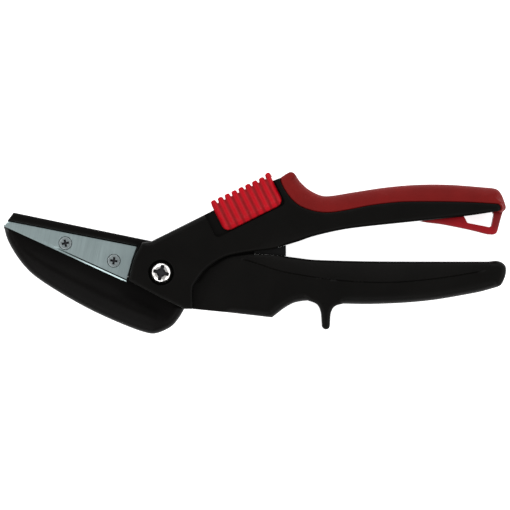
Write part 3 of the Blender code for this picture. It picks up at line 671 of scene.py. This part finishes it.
def retinted(mat, share_at, colour):
    """Mixes a colour into a finish, with a share worked out from X and Y of its own space."""
    tree = mat.node_tree
    shader = tree.nodes["Principled BSDF"]
    tint = shader.inputs["Base Color"].links[0].from_socket
    where = tree.nodes.new("ShaderNodeTexCoord")
    split = tree.nodes.new("ShaderNodeSeparateXYZ")
    tree.links.new(where.outputs["Object"], split.inputs["Vector"])
    share = share_at(tree, split.outputs["X"], split.outputs["Y"])
    tree.links.new(blended(tree, share, tint, colour), shader.inputs["Base Color"])
    return mat


def eye_end_shade(tree, x, y):
    """Painted shade on the eye's thin front end, under the handle, and on its rear leg, where it
    meets the grip.
    """
    leg = calculated(tree, "MULTIPLY", ranged(tree, x, 0.0, 0.85, 0.1650, 0.1670),
                     ranged(tree, y, 0.0, 1.0, 0.0205, 0.0235))
    return calculated(tree, "MAXIMUM", leg, ranged(tree, x, 0.7, 0.0, 0.130, 0.148))


def rib_valley_shade(tree, x, y):
    """Painted shade in the valleys between the slider's ribs: how strongly it darkens them."""
    turns = 2 * math.pi / RIB_PITCH
    along = calculated(tree, "MULTIPLY", x, math.cos(SLIDE_ANGLE) * turns / MM)
    across = calculated(tree, "MULTIPLY", y, math.sin(SLIDE_ANGLE) * turns / MM)
    phase = calculated(tree, "SUBTRACT", calculated(tree, "ADD", along, across),
                       FIRST_RIB_U * turns)
    return ranged(tree, calculated(tree, "COSINE", phase), 1.0, 0.0, -0.9, 0.3)


def groove_shade_fade(tree, x, y):
    """The blade's front part, where the painted shade in its groove fades out."""
    return ranged(tree, x, 1.0, 0.0, -0.060, -0.040)


ACROSS_BLADE = math.radians(78)
black_plastic = moulded("black_plastic", (0.0022, 0.0020, 0.0017), (0.0033, 0.0030, 0.0026),
                        0.44, 0.075, 3.2, 0.18)
black_coated = moulded("black_coated", (0.0024, 0.0021, 0.0020), (0.0034, 0.0030, 0.0028),
                       0.40, 0.058, 1.6, 0.12)
# The slider's red, with a darker red mixed into the valleys between its ribs as painted shade.
bright_red = retinted(moulded("bright_red", (0.38, 0.0022, 0.0080), (0.47, 0.0032, 0.0112),
                              0.36, 0.12, 2.6, 0.12), rib_valley_shade, (0.235, 0.0046, 0.0075))
# Painted shade: the eye uses the slider's red darkened as if in shade, with more painted shade at
# its ends.
shaded_eye_red = retinted(moulded("shaded_eye_red", (0.235, 0.0058, 0.0088), (0.275, 0.0068, 0.0115),
                           0.40, 0.12, 2.6, 0.12), eye_end_shade, (0.150, 0.0105, 0.0115))
soft_red = moulded("soft_red", (0.140, 0.0072, 0.0066), (0.172, 0.0086, 0.0080),
                   0.58, 0.07, 3.6, 0.25)
rubber = moulded("bumper_rubber", (0.0024, 0.0024, 0.0024), (0.0034, 0.0034, 0.0034),
                 0.75, 0.10, 2.4, 0.3)
blade_steel = ground_steel("blade_steel", (0.37, 0.465, 0.47), (0.46, 0.56, 0.565),
                           0.36, ACROSS_BLADE, strength=0.12)
# Painted shade: a dark steel for the blade's fine groove, turning back to the blade's own steel
# towards the tip.
groove_shade_steel = retinted(ground_steel("groove_shade_steel", (0.055, 0.068, 0.070),
                                     (0.10, 0.12, 0.125), 0.5, ACROSS_BLADE, strength=0.1),
                        groove_shade_fade, (0.40, 0.50, 0.505))
fastener_steel = plated("fastener_steel", (0.43, 0.49, 0.50), 0.28)
bolt_steel = plated("bolt_steel", (0.93, 0.91, 0.89), 0.16)
# Painted shade for the walls and floors of the cross recesses.
recess_shade = plated("recess_shade", (0.05, 0.05, 0.055), 0.5)
inner_steel = ground_steel("inner_steel", (0.38, 0.38, 0.38), (0.52, 0.52, 0.52), 0.38, 0.0)


def placed(obj, mat, body, slot, *nodes):
    """Gives a piece its material, the body it rides on and the nodes it stands for."""
    obj.data.materials.clear()
    obj.data.materials.append(mat)
    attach(obj, body)
    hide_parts(*nodes)


# ---- upper handle

def body_runs(mirrored):
    """The upper handle's outline, with the rounding of each stretch of its rim."""
    stretches = [
        (on_slide([(2.6, 16.2), (70.5, 16.2)]), 2.6),
        ([(59.62, 47.35)], 0.5),
        (curve(GRIP_SEAM)[::-1], 0.5),
        (curve(UPPER_TIP), 0.8),
        (curve(UPPER_UNDERSIDE)[::-1], 2.2),
        (curve(HEAD_ARC)[::-1], 1.3),
        ([(15.5, -18.2)], 1.0),
        (CHEEK_STEP[::-1], 1.0),
        (curve(CHEEK_SIDE)[::-1], 1.4),
    ]
    return [(pts, 0.0, r) if mirrored else (pts, r, 0.0) for pts, r in stretches]


def score(distance, depth):
    """A fine V groove along a crease."""
    return depth * np.maximum(1 - np.abs(distance) / CREASE_HALF_WIDTH, 0)


def body_face(points):
    """Heights of the upper handle's face: flat, with a scored crease and a bevel under it."""
    side = beside(points, curve(UPPER_CREASE))
    x = points[:, 0]
    extent = ease((x - 41.0) / 10.0) * ease((84.0 - x) / 16.0)
    return THICKNESS - (0.17 * np.maximum(-side, 0) + score(side, 0.12)) * extent


def tang_outline():
    return on_slide([(2.0, -9.0), (12.0, -6.5), (31.0, -4.5), (31.0, 5.2), (12.0, 5.2), (2.0, 9.0)])


def tongue_outline(extra):
    """The eye's tongue, which lies in the end of the upper handle."""
    left, right = 131.0 - extra, 167.8 + extra
    low = [(left, 25.4), (151.5, 27.6), (right, 29.7)]
    high = [(right, 32.6 + extra), (151.5, 30.6 + extra), (left, 28.4 + extra)]
    return low + high


def head_room(z0, z1):
    """The room that the lever's head and neck need between the cheeks."""
    neck = [(2, -30), (30, -30), (30, -4), (15, -4), (2, -14)]
    return [drum(SWEEP_RADIUS, z0, z1), block(neck, z0, z1)]


def shell_rooms():
    """What both body shells give up inside."""
    return [
        drum(BOLT_RADIUS + FIT_GAP, -2, 24),
        slide_block(51.6 - SLIDE_TRAVEL, 61.4, 5.0, 18.0, 8.9, 12.5),
        slide_block(12.0, LOCK_PIN_U - 2.0, 5.7, 8.0, 9.5, 15.8),
        slide_block(LOCK_PIN_U - 3.2 - SLIDE_TRAVEL, LOCK_PIN_U + 3.4, 5.2, 10.8, 9.7, 16.0),
        spring_bore(6.0, SPRING_ENDS[1] + 0.4),
        block(rectangle(54.2, 58.3, 8.0, 16.3), 5.7, 16.3),
        block(tongue_outline(0.3), 8.5, 13.5),
        screw_holes(SHELL_SCREWS),
    ]


def crease_guides(crease):
    line = curve(crease, 12)
    return [line, offset(line, CREASE_HALF_WIDTH), offset(line, -CREASE_HALF_WIDTH)]


def bed_outline():
    """The slider's bed, with its two lower corners rounded."""
    corners = arc((34.7, 5.3), 2.4, 180, 270, 8) + arc((69.0, 5.3), 2.4, 270, 360, 8)
    return on_slide(corners + [(71.4, 20.0), (32.3, 20.0)])


def body_front():
    obj = slab("upper_handle_front", body_runs(False), body_face, PARTING + PARTING_GAP,
               guides=crease_guides(UPPER_CREASE))
    recess = [(0.0, RECESS_FLOOR), (5.9, RECESS_FLOOR), (6.4, 18.8), (6.4, THICKNESS - 0.5),
              (7.1, THICKNESS + 0.2), (7.1, 25.0), (0.0, 25.0)]
    cutters = head_room(10.0, CHEEK_IN_FRONT) + shell_rooms()
    cutters += [turned("tool", recess, segments=96), block(bed_outline(), BED_FLOOR, 25.0),
                lip_groove()]
    shaped(obj, cutters=cutters)
    placed(obj, black_plastic, "body", "black_plastic", "body_front_shell")


def body_rear():
    obj = slab("upper_handle_rear", body_runs(True), PARTING - PARTING_GAP,
               lambda p: THICKNESS - body_face(p), guides=crease_guides(UPPER_CREASE))
    cutters = head_room(CHEEK_IN_REAR, 12.0) + shell_rooms()
    cutters += [block(grown(tang_outline(), 0.35), CHEEK_IN_REAR, 12.0),
                block(nut_outline(NUT_RADIUS + FIT_GAP * 1.2), -2.0, NUT_TOP + 0.3),
                block(bed_outline(), -3.0, THICKNESS - BED_FLOOR)]
    shaped(obj, cutters=cutters)
    placed(obj, black_plastic, "body", "black_plastic", "body_rear_shell")


def grip():
    """The soft grip: nearly half round over the back, with a thin lip along its seam."""
    seam = offset(joined_open(curve(UPPER_TIP)[::-1], curve(GRIP_SEAM)), -SEAM_GAP)
    back = curve(GRIP_BACK)
    nose = 4 * 8 + 1
    runs = [(back[:nose], 2.2, 2.2), (back[nose:], 6.5, 6.5), (seam, 0.7, 0.7)]

    def bead(points):
        gap = near_line(points, np.array(seam[:-1]), np.array(seam[1:]))[0]
        return 0.26 * np.exp(-((gap - 1.0) / 0.55) ** 2)

    top, low = THICKNESS - FIT_GAP, FIT_GAP
    obj = slab("upper_grip_cover", runs, lambda p: top - 0.26 + bead(p),
               lambda p: low + 0.26 - bead(p), guides=[offset(seam, -g) for g in (1.0, 1.8)],
               spacing=1.6)
    placed(obj, soft_red, "body", "soft_red", "upper_grip")


def hang_loop():
    """The bright hanging eye under the tail of the upper handle."""
    bottom = curve(((129.6, 25.75), (133.7, 25.0), (140.9, 24.1), (151.2, 22.1),
                            (157.0, 20.8), (161.5, 19.6), (163.9, 19.05)))
    corner = arc((166.0, 21.55), 2.6, 258, 345, 12)
    under = [p for p in offset(curve(UPPER_UNDERSIDE), -SEAM_GAP) if p[0] > 130.5]
    top = [(170.6, 28.7), (171.05, 30.16), (166.9, 30.24)] + under[::-1]
    eye = [(151.6, 29.2), (151.6, 28.4)] + arc((154.1, 25.9), 1.1, 205, 257, 6)
    eye += arc((164.4, 24.0), 1.2, 258, 345, 8) + arc((165.7, 29.0), 0.9, 345, 410, 5)
    eye += [(166.1, 31.4)]
    low, high = level("hang_loop"), level("hang_loop", 1)
    obj = slab("hanging_eye", [(bottom, 1.1, 1.1), (corner, 1.1, 1.1), (top, 0.4, 0.4)],
               high, low, spacing=1.5)
    tongue = block(tongue_outline(0.0), 8.8, 13.2)
    shaped(obj, joins=[tongue], cutters=[block(eye, low - 1, high + 1)])
    placed(obj, shaded_eye_red, "body", "bright_red", "hang_loop")


def bumper():
    """The rubber stop in the crotch of the handles."""
    below = [(p[0], p[1] + CONTACT_GAP) for p in curve(LOWER_HEAD) if p[0] > 45.0]
    over = [(p[0], p[1] - CONTACT_GAP) for p in curve(HEAD_ARC) if p[0] > 45.0]
    end = [(62.5, 8.2), (62.5, 13.6)]
    obj = slab("crotch_stop", [(below + end, 0.1, 0.1), (over[::-1], 0.1, 0.1)], 19.0, 4.0,
               spacing=0.9)
    stem = block(rectangle(54.5, 58.0, 10.5, 16.0), 6.0, 16.0)
    toe = block(rectangle(44.0, LIP_END + 0.2, 8.0, 13.0), LIP_LEVELS[0] - 0.3, 20.0)
    shaped(obj, joins=[stem], cutters=[toe])
    placed(obj, rubber, "body", "bumper_rubber", "stop_bumper")


# ---- jaws

def jaw_face(points):
    """The lobe's front: flat along the cut, softly crowned below it."""
    loop = np.array(joined(curve(LOBE_SWELL), [(-4.0, -15.4), (-14.0, -10.4),
                                                      (-19.0, -7.4), (-45.0, 4.4)]))
    gap = near_line(points, loop)[0]
    gap = np.where(inside(points, loop), gap, 0.0)
    return CUT_PLANE + 1.8 * ease(gap / 8.0)


def counter_blade_room():
    """The outline of the counter blade's seat along the jaw's edge."""
    left, right = -70.0 - FIT_GAP, -18.0 + FIT_GAP
    return [(left, line_y(JAW_EDGE, left) + 1.2),
            (left, line_y(CUTTING_EDGE, left) + 0.2 - FIT_GAP),
            (right, line_y(CUTTING_EDGE, right) + 0.2 - FIT_GAP),
            (right, line_y(JAW_EDGE, right) + 1.2)]


def jaw():
    """The broad lower jaw, with its tang inside the upper handle."""
    hub = arc((0, 0), 10.4, -50, 210, 48)
    runs = [(curve(LOBE_BELLY), 4.6, 2.8), ([(9.0, -12.0), (6.0, -8.6)], 0.3, 0.3), (hub, 0.0, 0.0),
            (JAW_EDGE[::-1], 0.25, 0.6)]
    obj = slab("lower_jaw_lobe", runs, jaw_face, 2.2, spacing=1.5)
    tang = block(tang_outline(), CHEEK_IN_REAR + FIT_GAP, CUT_PLANE)
    cheek = joined(*[run for run, _, _ in body_runs(False)])
    cutters = [block(grown(cheek, 0.4), -2.0, CHEEK_IN_REAR + FIT_GAP),
               drum(SLEEVE_RADIUS + FIT_GAP, 0, 14),
               block(counter_blade_room(), 7.3, 14.0)]
    shaped(obj, joins=[tang], cutters=cutters)
    placed(obj, black_coated, "body", "black_coated", "lower_jaw")


def lever():
    """The cast lever: head, tail, blade carrier with its raised lip, and the lock tooth."""
    obj = turned("lever_casting", [(0.0, PARTING), (HEAD_RADIUS, PARTING),
                                   (HEAD_RADIUS, HEAD_TOP - 0.4), (HEAD_RADIUS - 0.4, HEAD_TOP),
                                   (0.0, HEAD_TOP)], segments=72)
    shoulder = joined(arc((0, 0), 15.4, 100, 186, 30), [(-6.0, -6.0), (4.0, 0.0), (3.0, 8.0)])
    web = joined([(-77.0, 26.1), (-74.0, 30.1), (-5.0, 15.8), (-2.2, 11.0)],
                 arc((0, 0), 11.2, 101, 205, 32), [(-77.6, 24.1)])
    lip_back = [(-77.0, 26.2), (-74.0, 30.1), (-5.0, 15.8)]
    lip_inner = [(-16.2, -1.0), (-15.7, 0.8), (-14.0, 6.8), (-11.7, 13.4)]
    apron = [(-16.3, -0.9), (-17.2, -4.2), (-13.0, -5.9), (-10.0, -3.0), (-11.0, 1.0)]
    lip = slab("tool", [(lip_back, 1.0, 0.0), (arc((0, 0), 11.4, 106, 195, 30), 0.3, 0.0),
                        (lip_inner, 0.35, 0.0)], 15.0, CUT_PLANE - 0.2, spacing=1.4)
    joins = [block(CORE_TAIL, PARTING, CORE_TOP), block(shoulder, PARTING, HEAD_TOP),
             slab("tool", [(web, 0.0, 0.5)], CUT_PLANE, CHEEK_IN_REAR + FIT_GAP, spacing=2.5), lip,
             block(apron, CUT_PLANE + FIT_GAP, 15.0),
             slide_block(5.0, 16.0, 8.0, 9.8, 12.0, 16.0)]
    cutters = [drum(SLEEVE_RADIUS + FIT_GAP, 0, 24),
               drum(WASHER_ROOM_RADIUS, 9.0, 12.0), drum(WASHER_ROOM_RADIUS, 16.2, 18.0),
               drum(BLADE_SCREW_SHANK + FIT_GAP, 3.0, 12.0, BLADE_SCREWS, 32),
               drum(SCREW_SHANK + FIT_GAP, 9.0, 19.0, HANDLE_SCREWS[:2], 32)]
    shaped(obj, joins=joins, cutters=cutters)
    placed(obj, black_coated, "lever", "black_coated", "lever_core")


def blade():
    """The straight ground plate with its narrow second bevel along the edge."""
    (x0, y0), (x1, y1) = CUTTING_EDGE
    back = [(-76.7, 25.8), (-12.1, 13.1)]
    end = curve(((-12.1, 13.1), (-14.4, 6.8), (-16.1, 0.8), (x1, y1)))
    edge = [(x1, y1), (x0, y0)]

    def face(points):
        """Flat, then a fine groove, and below it the ground land of the edge.

        The groove runs out towards the tip, and the land lies flatter there.
        """
        above = -beside(points, edge)
        groove = np.maximum(1 - np.abs(above - GROOVE_AT) / GROOVE_HALF_WIDTH, 0) * 0.45
        groove *= ease((points[:, 0] + 58.0) / 12.0)
        slope = 0.06 + 0.46 * ease((points[:, 0] + 52.0) / 24.0)
        return PLATE_TOP - groove - np.maximum(LAND - above, 0) * slope

    groove = [GROOVE_AT + GROOVE_HALF_WIDTH * k / 2 for k in range(-2, 3)]
    guides = []
    for inset in (0.38, LAND, *groove, 1.9):
        a, b = np.array(offset(edge, -inset))
        guides.append(a + (b - a) * np.linspace(0.005, 0.995, 110)[:, None])
    runs = [(back, 0.22, 0.12), (end, 0.22, 0.12), (edge, 0.0, 0.0)]
    obj = slab("blade_plate_ground", runs, face, PLATE_LOW, guides=guides, spacing=1.5)
    sinks = sink_profile(BLADE_SCREW_HEAD, BLADE_SCREW_SHANK, PLATE_TOP, PLATE_LOW - 1)
    shaped(obj, cutters=[turned("tool", sinks, BLADE_SCREWS, 56)])
    placed(obj, blade_steel, "lever", "blade_steel", "blade_plate")
    # The faces along the fine groove get the dark steel: painted shade in the groove.
    obj.data.materials.append(groove_shade_steel)
    middles = np.array([f.center for f in obj.data.polygons]) / MM
    above = -beside(middles[:, :2], edge)
    dark = (np.abs(above - GROOVE_AT) < GROOVE_HALF_WIDTH - 0.01) & (middles[:, 0] > -59.0)
    dark &= middles[:, 2] > PLATE_LOW + 1.0
    obj.data.polygons.foreach_set("material_index", dark.astype(np.int32))


# ---- lower handle

def handle_runs(mirrored):
    head = [p for p in curve(LOWER_HEAD) if p[1] > -4.5]
    stretches = [
        (head, 0.5),
        (curve(LOWER_TOP), 1.5),
        (curve(LOWER_END), 2.6),
        (curve(LOWER_BELLY), 4.6),
        (curve(HOOK_FAR)[::-1], 2.0),
        (arc(HOOK_TIP, 2.0, 360, 180, 12), 1.5),
        (curve(HOOK_NEAR)[::-1], 2.0),
        (curve(FINGER_SCALLOP), 4.2),
        ([(32.7, -19.9)], 3.2),
        ([(15.8, -18.25), (13.6, -14.8), (13.0, -8.5), (15.0, -4.0)], 0.4),
    ]
    return [(pts, 0.0, r) if mirrored else (pts, r, 0.0) for pts, r in stretches]


def head_fall(points, depth, end_radius):
    """How far the handle's face lies back near the pivot, up to a radius."""
    radius = np.hypot(points[:, 0], points[:, 1])
    t = (radius - HANDLE_START_RADIUS) / (end_radius - HANDLE_START_RADIUS)
    return depth * (1 - np.clip(t, 0, 1))


def flank_drop(points):
    """How far a flank lies below its top face: a bevel above the scored crease."""
    side = beside(points, curve(LOWER_CREASE))
    above = np.maximum(side, 0)
    ends = ease((points[:, 0] - 37.0) / 6.0) * ease((168.0 - points[:, 0]) / 12.0)
    return 0.15 * above + 0.011 * above ** 2 + score(side, 0.42) * ends


def handle_face(points):
    """The flank, with the fall towards the head that passes under the front cheek."""
    fall = head_fall(points, THICKNESS + 0.2 - HEAD_TOP, FRONT_FALL_RADIUS)
    return np.minimum(THICKNESS, THICKNESS + 0.2 - fall) - flank_drop(points)


def handle_back(points):
    """The rear face, which falls away to pass under the rear cheek."""
    return np.maximum(flank_drop(points), head_fall(points, 4.8, REAR_FALL_RADIUS) - 0.2)


def handle_guides():
    rings = [arc((0, 0), HANDLE_START_RADIUS + r, -60, 40, 120) for r in (-0.4, 0.0, 0.4)]
    return rings + crease_guides(LOWER_CREASE)


def handle_rooms():
    """What both lower handle shells give up inside."""
    return [spring_bore(SPRING_ENDS[0] - 0.4, 14.0), screw_holes(HANDLE_SCREWS)]


def lip_along_arc(x1, z0, z1, reach, root):
    """A strip along the body's arc up to x1, from reach inside it to root outside."""
    run = [p for p in curve(HEAD_ARC, 24) if p[1] > -4.4 and p[0] < x1]
    return block(offset(run, -root) + offset(run, reach)[::-1], z0, z1)


def head_lip():
    """A lip on the handle's head that enters a groove in the body, so that the gap is dark."""
    return lip_along_arc(LIP_END, *LIP_LEVELS, 0.9, 1.9)


def lip_groove():
    """The groove in the body that the lip of the handle's head enters."""
    low, high = LIP_LEVELS
    return lip_along_arc(LIP_END + 0.6, low - 0.2, high + 0.2, 1.3, 0.4)


def handle_front():
    obj = slab("lower_handle_front", handle_runs(False), handle_face, PARTING,
               guides=handle_guides())
    cutters = handle_rooms() + [block(grown(CORE_TAIL, 0.35), 9.0, CORE_TOP + FIT_GAP)]
    shaped(obj, joins=[head_lip()], cutters=cutters)
    placed(obj, black_plastic, "lever", "black_plastic", "handle_front_shell")


def handle_rear():
    obj = slab("lower_handle_rear", handle_runs(True), PARTING - FIT_GAP, handle_back,
               guides=handle_guides())
    jaw_room = joined([(5.0, -30.0), (5.0, 5.0), (16.6, 5.0), (16.6, -11.5)],
                      arc((0, 0), HANDLE_START_RADIUS, -27, -52, 16))
    shaped(obj, cutters=handle_rooms() + [block(jaw_room, -2.0, 14.0)])
    placed(obj, black_plastic, "lever", "black_plastic", "handle_rear_shell")


# ---- slide lock

def slider():
    """The thumb saddle: nine ribs that run over the back and down both flanks."""
    u0, u1 = SLIDER_U
    comb = []
    for i in range(RIB_COUNT):
        tip = 21.0 if i == RIB_COUNT - 1 else 20.8 - 0.08 * i
        for k in range(11):
            t = (k - 5) / 5
            rise = (tip - 18.5) * (1 - t ** 2) ** 0.22
            comb.append((FIRST_RIB_U + RIB_PITCH * i + t * 1.55, 18.5 + rise))
    lower = arc((u1 - 4, 7.4), 4.0, 0, -90, 12) + arc((u0 + 4, 7.4), 4.0, 270, 180, 12)
    runs = [(on_slide(comb), 0.45, 0.45),
            (on_slide([(u1, 18.0)] + lower + [(u0, 18.0)]), 0.8, 0.8)]

    def wave(points):
        """0 between the ribs and 1 along them, fading out near the lower border."""
        c, s = math.cos(SLIDE_ANGLE), math.sin(SLIDE_ANGLE)
        u = points[:, 0] * c + points[:, 1] * s
        v = -points[:, 0] * s + points[:, 1] * c
        ridge = 0.5 + 0.5 * np.cos(2 * math.pi * (u - FIRST_RIB_U) / RIB_PITCH)
        ends = ease((u - u0 - 0.2) / 1.2) * ease((u1 - 0.2 - u) / 1.2)
        return ridge ** 0.8 * ease((v - 4.6) / 3.0) * ends

    low, high = level("lock_slider"), level("lock_slider", 1)
    obj = slab("thumb_slider", runs, lambda p: high - 0.85 + 0.85 * wave(p),
               lambda p: low + 0.85 - 0.85 * wave(p), spacing=0.55)
    cutters = [slide_block(u0 - 2, u1 + 2, -2.0, 16.5, 2.3, 19.7)]
    stem = slide_block(52.0, 61.0, 5.4, 17.0, 9.2, 12.2)
    shaped(obj, cutters=cutters)
    bore = drum(1.5, 0.0, 14.0, on_slide([(LOCK_PIN_U, 8.0)]))
    shaped(obj, joins=[stem], cutters=[bore])
    placed(obj, bright_red, "lock", "bright_red", "lock_slider")


# ---- fasteners and spring

def nut_outline(radius):
    return arc((0, 0), radius, 30, 330, 5)


def shade_recess(obj, centre, reach, floor, mouth):
    """Gives the walls and floor of a cross recess a dark material: painted shade in the recess."""
    obj.data.materials.append(recess_shade)
    low, high = sorted((floor, mouth))
    for face in obj.data.polygons:
        at = face.center / MM
        within = math.dist((at.x, at.y), centre) < reach and low - 0.05 < at.z < high
        face.material_index = int(within and (abs(face.normal.z) < 0.8 or abs(at.z - floor) < 0.05))


def bolt():
    """The pivot bolt: a low domed head with a cross recess."""
    dome = []
    for k in range(9):
        a = math.radians(90 * k / 8)
        dome.append((BOLT_HEAD_RADIUS * math.sin(a), BOLT_TOP - 2.1 * (1 - math.cos(a))))
    seat = RECESS_FLOOR + FIT_GAP
    profile = dome + [(BOLT_HEAD_RADIUS, seat), (BOLT_RADIUS, seat), (BOLT_RADIUS, 1.2),
                      (0.0, 1.2)]
    obj = turned("pivot_bolt_head", profile, segments=72)
    cup = turned("tool", [(0.0, CROSS_FLOOR), (1.5, CROSS_FLOOR), (2.3, 21.2), (2.3, 23.0),
                          (0.0, 23.0)])
    shaped(obj, cutters=[cross_cutter((0, 0), 5.3, 1.0, CROSS_FLOOR, THICKNESS, -0.24), cup])
    placed(obj, bolt_steel, "body", "fastener_steel", "pivot_bolt")
    shade_recess(obj, (0, 0), 5.2, CROSS_FLOOR, THICKNESS)


def nut():
    obj = slab("pivot_nut_hex", [(nut_outline(NUT_RADIUS), 0.2, 0.45)], NUT_TOP, 0.0, spacing=1.2)
    shaped(obj, cutters=[drum(BOLT_RADIUS + FIT_GAP, 0.9, 4.0)])
    placed(obj, fastener_steel, "body", "fastener_steel", "pivot_nut")


def screw(node, centre, head, shank, z_head, z_tip, turn, body):
    """A countersunk cross-head screw with a softened rim."""
    way = 1.0 if z_tip > z_head else -1.0
    profile = [(0.0, z_head), (head - 0.25, z_head), (head - 0.07, z_head + way * 0.07),
               (head, z_head + way * 0.25), (head, z_head + way * 0.4),
               (shank, z_head + way * (0.4 + head - shank)), (shank, z_tip), (0.0, z_tip)]
    obj = turned(node.replace("screw", "countersunk"), profile, (centre,), 48)
    near, far = z_head - way * 0.5, z_head + way * head * 0.42
    cutter = cross_cutter(centre, head * 0.68, head * 0.19, far, near, turn)
    shaped(obj, cutters=[cutter])
    placed(obj, fastener_steel, body, "fastener_steel", node)
    shade_recess(obj, centre, head * 0.7, far, z_head)


def screws():
    """All the countersunk screws, each with its cross at a turn of its own."""
    shell_size = (SCREW_HEAD, SCREW_SHANK, SCREW_FACE, SCREW_TIP)
    blade_size = (BLADE_SCREW_HEAD, BLADE_SCREW_SHANK, PLATE_TOP, level("blade_screw_1"))
    for kind, centres, size, first_turn, turn_step, body in (
            ("shell_screw", SHELL_SCREWS, shell_size, 0.3, 0.5, "body"),
            ("handle_screw", HANDLE_SCREWS, shell_size, 0.2, 0.6, "lever"),
            ("blade_screw", BLADE_SCREWS, blade_size, 0.2, -0.35, "lever")):
        for i, centre in enumerate(centres):
            screw(f"{kind}_{i + 1}", centre, *size, first_turn + turn_step * i, body)


def spring():
    """The return spring, closed at its ends, that stretches as the handles part."""
    per_turn, sides = 28, 10
    low, high = SPRING_ENDS[0] + SPRING_WIRE, SPRING_ENDS[1] - SPRING_WIRE
    total = int(SPRING_TURNS * per_turn)
    loops = []
    for k in range(total + 1):
        a = 2 * math.pi * k / per_turn
        t = k / total
        out = Vector((math.cos(a), 0, math.sin(a)))
        centre = Vector((SPRING_AT, low + (high - low) * t, PARTING)) + out * SPRING_RADIUS
        loops.append([centre + (out * math.cos(b) + Vector((0, math.sin(b), 0))) * SPRING_WIRE
                      for b in (2 * math.pi * s / sides for s in range(sides))])
    obj = skinned("return_spring_coil", loops, 60.0)
    obj.data.materials.append(inner_steel)
    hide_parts("return_spring")
    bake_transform(obj)


def paint_kept_nodes():
    """Materials for the CAD nodes that stay in sight inside the mechanism."""
    for node in ("counter_blade", "pivot_sleeve", "thrust_washer_front", "thrust_washer_rear",
                 "lock_bar", "lock_pin"):
        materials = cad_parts[node].data.materials
        materials.clear()
        materials.append(blade_steel if node == "counter_blade" else inner_steel)


# ---- stage

VIEW_WIDTH = 0.255
VIEW_CENTRE = (0.047, 0.0088)
CAMERA_HEIGHT = 3.0
SENSOR = 36.0


def studio():
    """A pale floor, five soft boxes around the object and a plain pale surround."""
    scene = bpy.context.scene
    scene.view_settings.view_transform = "Standard"
    mesh = bpy.data.meshes.new("floor")
    corners = [(x, y, -0.05 * MM) for x, y in rectangle(-4.0, 4.0, -4.0, 4.0)]
    mesh.from_pydata(corners, [], [(0, 1, 2, 3)])
    floor = linked("floor", mesh)
    mat, _, shader = tree_of("floor_paper", 0.0, 0.1)
    shader.inputs["Base Color"].default_value = (0.92, 0.92, 0.92, 1.0)
    shader.inputs["Roughness"].default_value = 0.9
    shader.inputs["Emission Color"].default_value = (1.0, 1.0, 1.0, 1.0)
    shader.inputs["Emission Strength"].default_value = 0.85
    mesh.materials.append(mat)
    world = bpy.data.worlds.new("surround")
    world.use_nodes = True
    background = world.node_tree.nodes["Background"]
    background.inputs["Color"].default_value = (1.0, 1.0, 1.0, 1.0)
    background.inputs["Strength"].default_value = 0.42
    scene.world = world
    for azimuth, power in ((100, 5.4), (170, 3.6), (245, 5.4), (330, 4.6), (25, 3.8)):
        light = bpy.data.lights.new(f"softbox_{azimuth}", "AREA")
        light.shape = "RECTANGLE"
        light.size = 1.1
        light.size_y = 0.8
        light.energy = power
        lamp = linked(light.name, light)
        a, up = math.radians(azimuth), math.radians(38)
        way = Vector((math.cos(a) * math.cos(up), math.sin(a) * math.cos(up), math.sin(up)))
        lamp.location = Vector((*VIEW_CENTRE, 0.0)) + way * 1.25
        lamp.rotation_euler = way.to_track_quat("Z", "Y").to_euler()


def camera():
    """Straight above the shears, from far away."""
    data = bpy.data.cameras.new("camera")
    data.sensor_width = SENSOR
    data.lens = SENSOR * CAMERA_HEIGHT / VIEW_WIDTH
    data.clip_end = 20.0
    obj = linked("camera", data)
    obj.location = (*VIEW_CENTRE, CAMERA_HEIGHT + THICKNESS * MM)
    bpy.context.scene.camera = obj


for build in (body_front, body_rear, grip, hang_loop, bumper, jaw, lever, blade, handle_front,
              handle_rear, slider, bolt, nut, screws, spring, paint_kept_nodes, studio, camera):
    build()
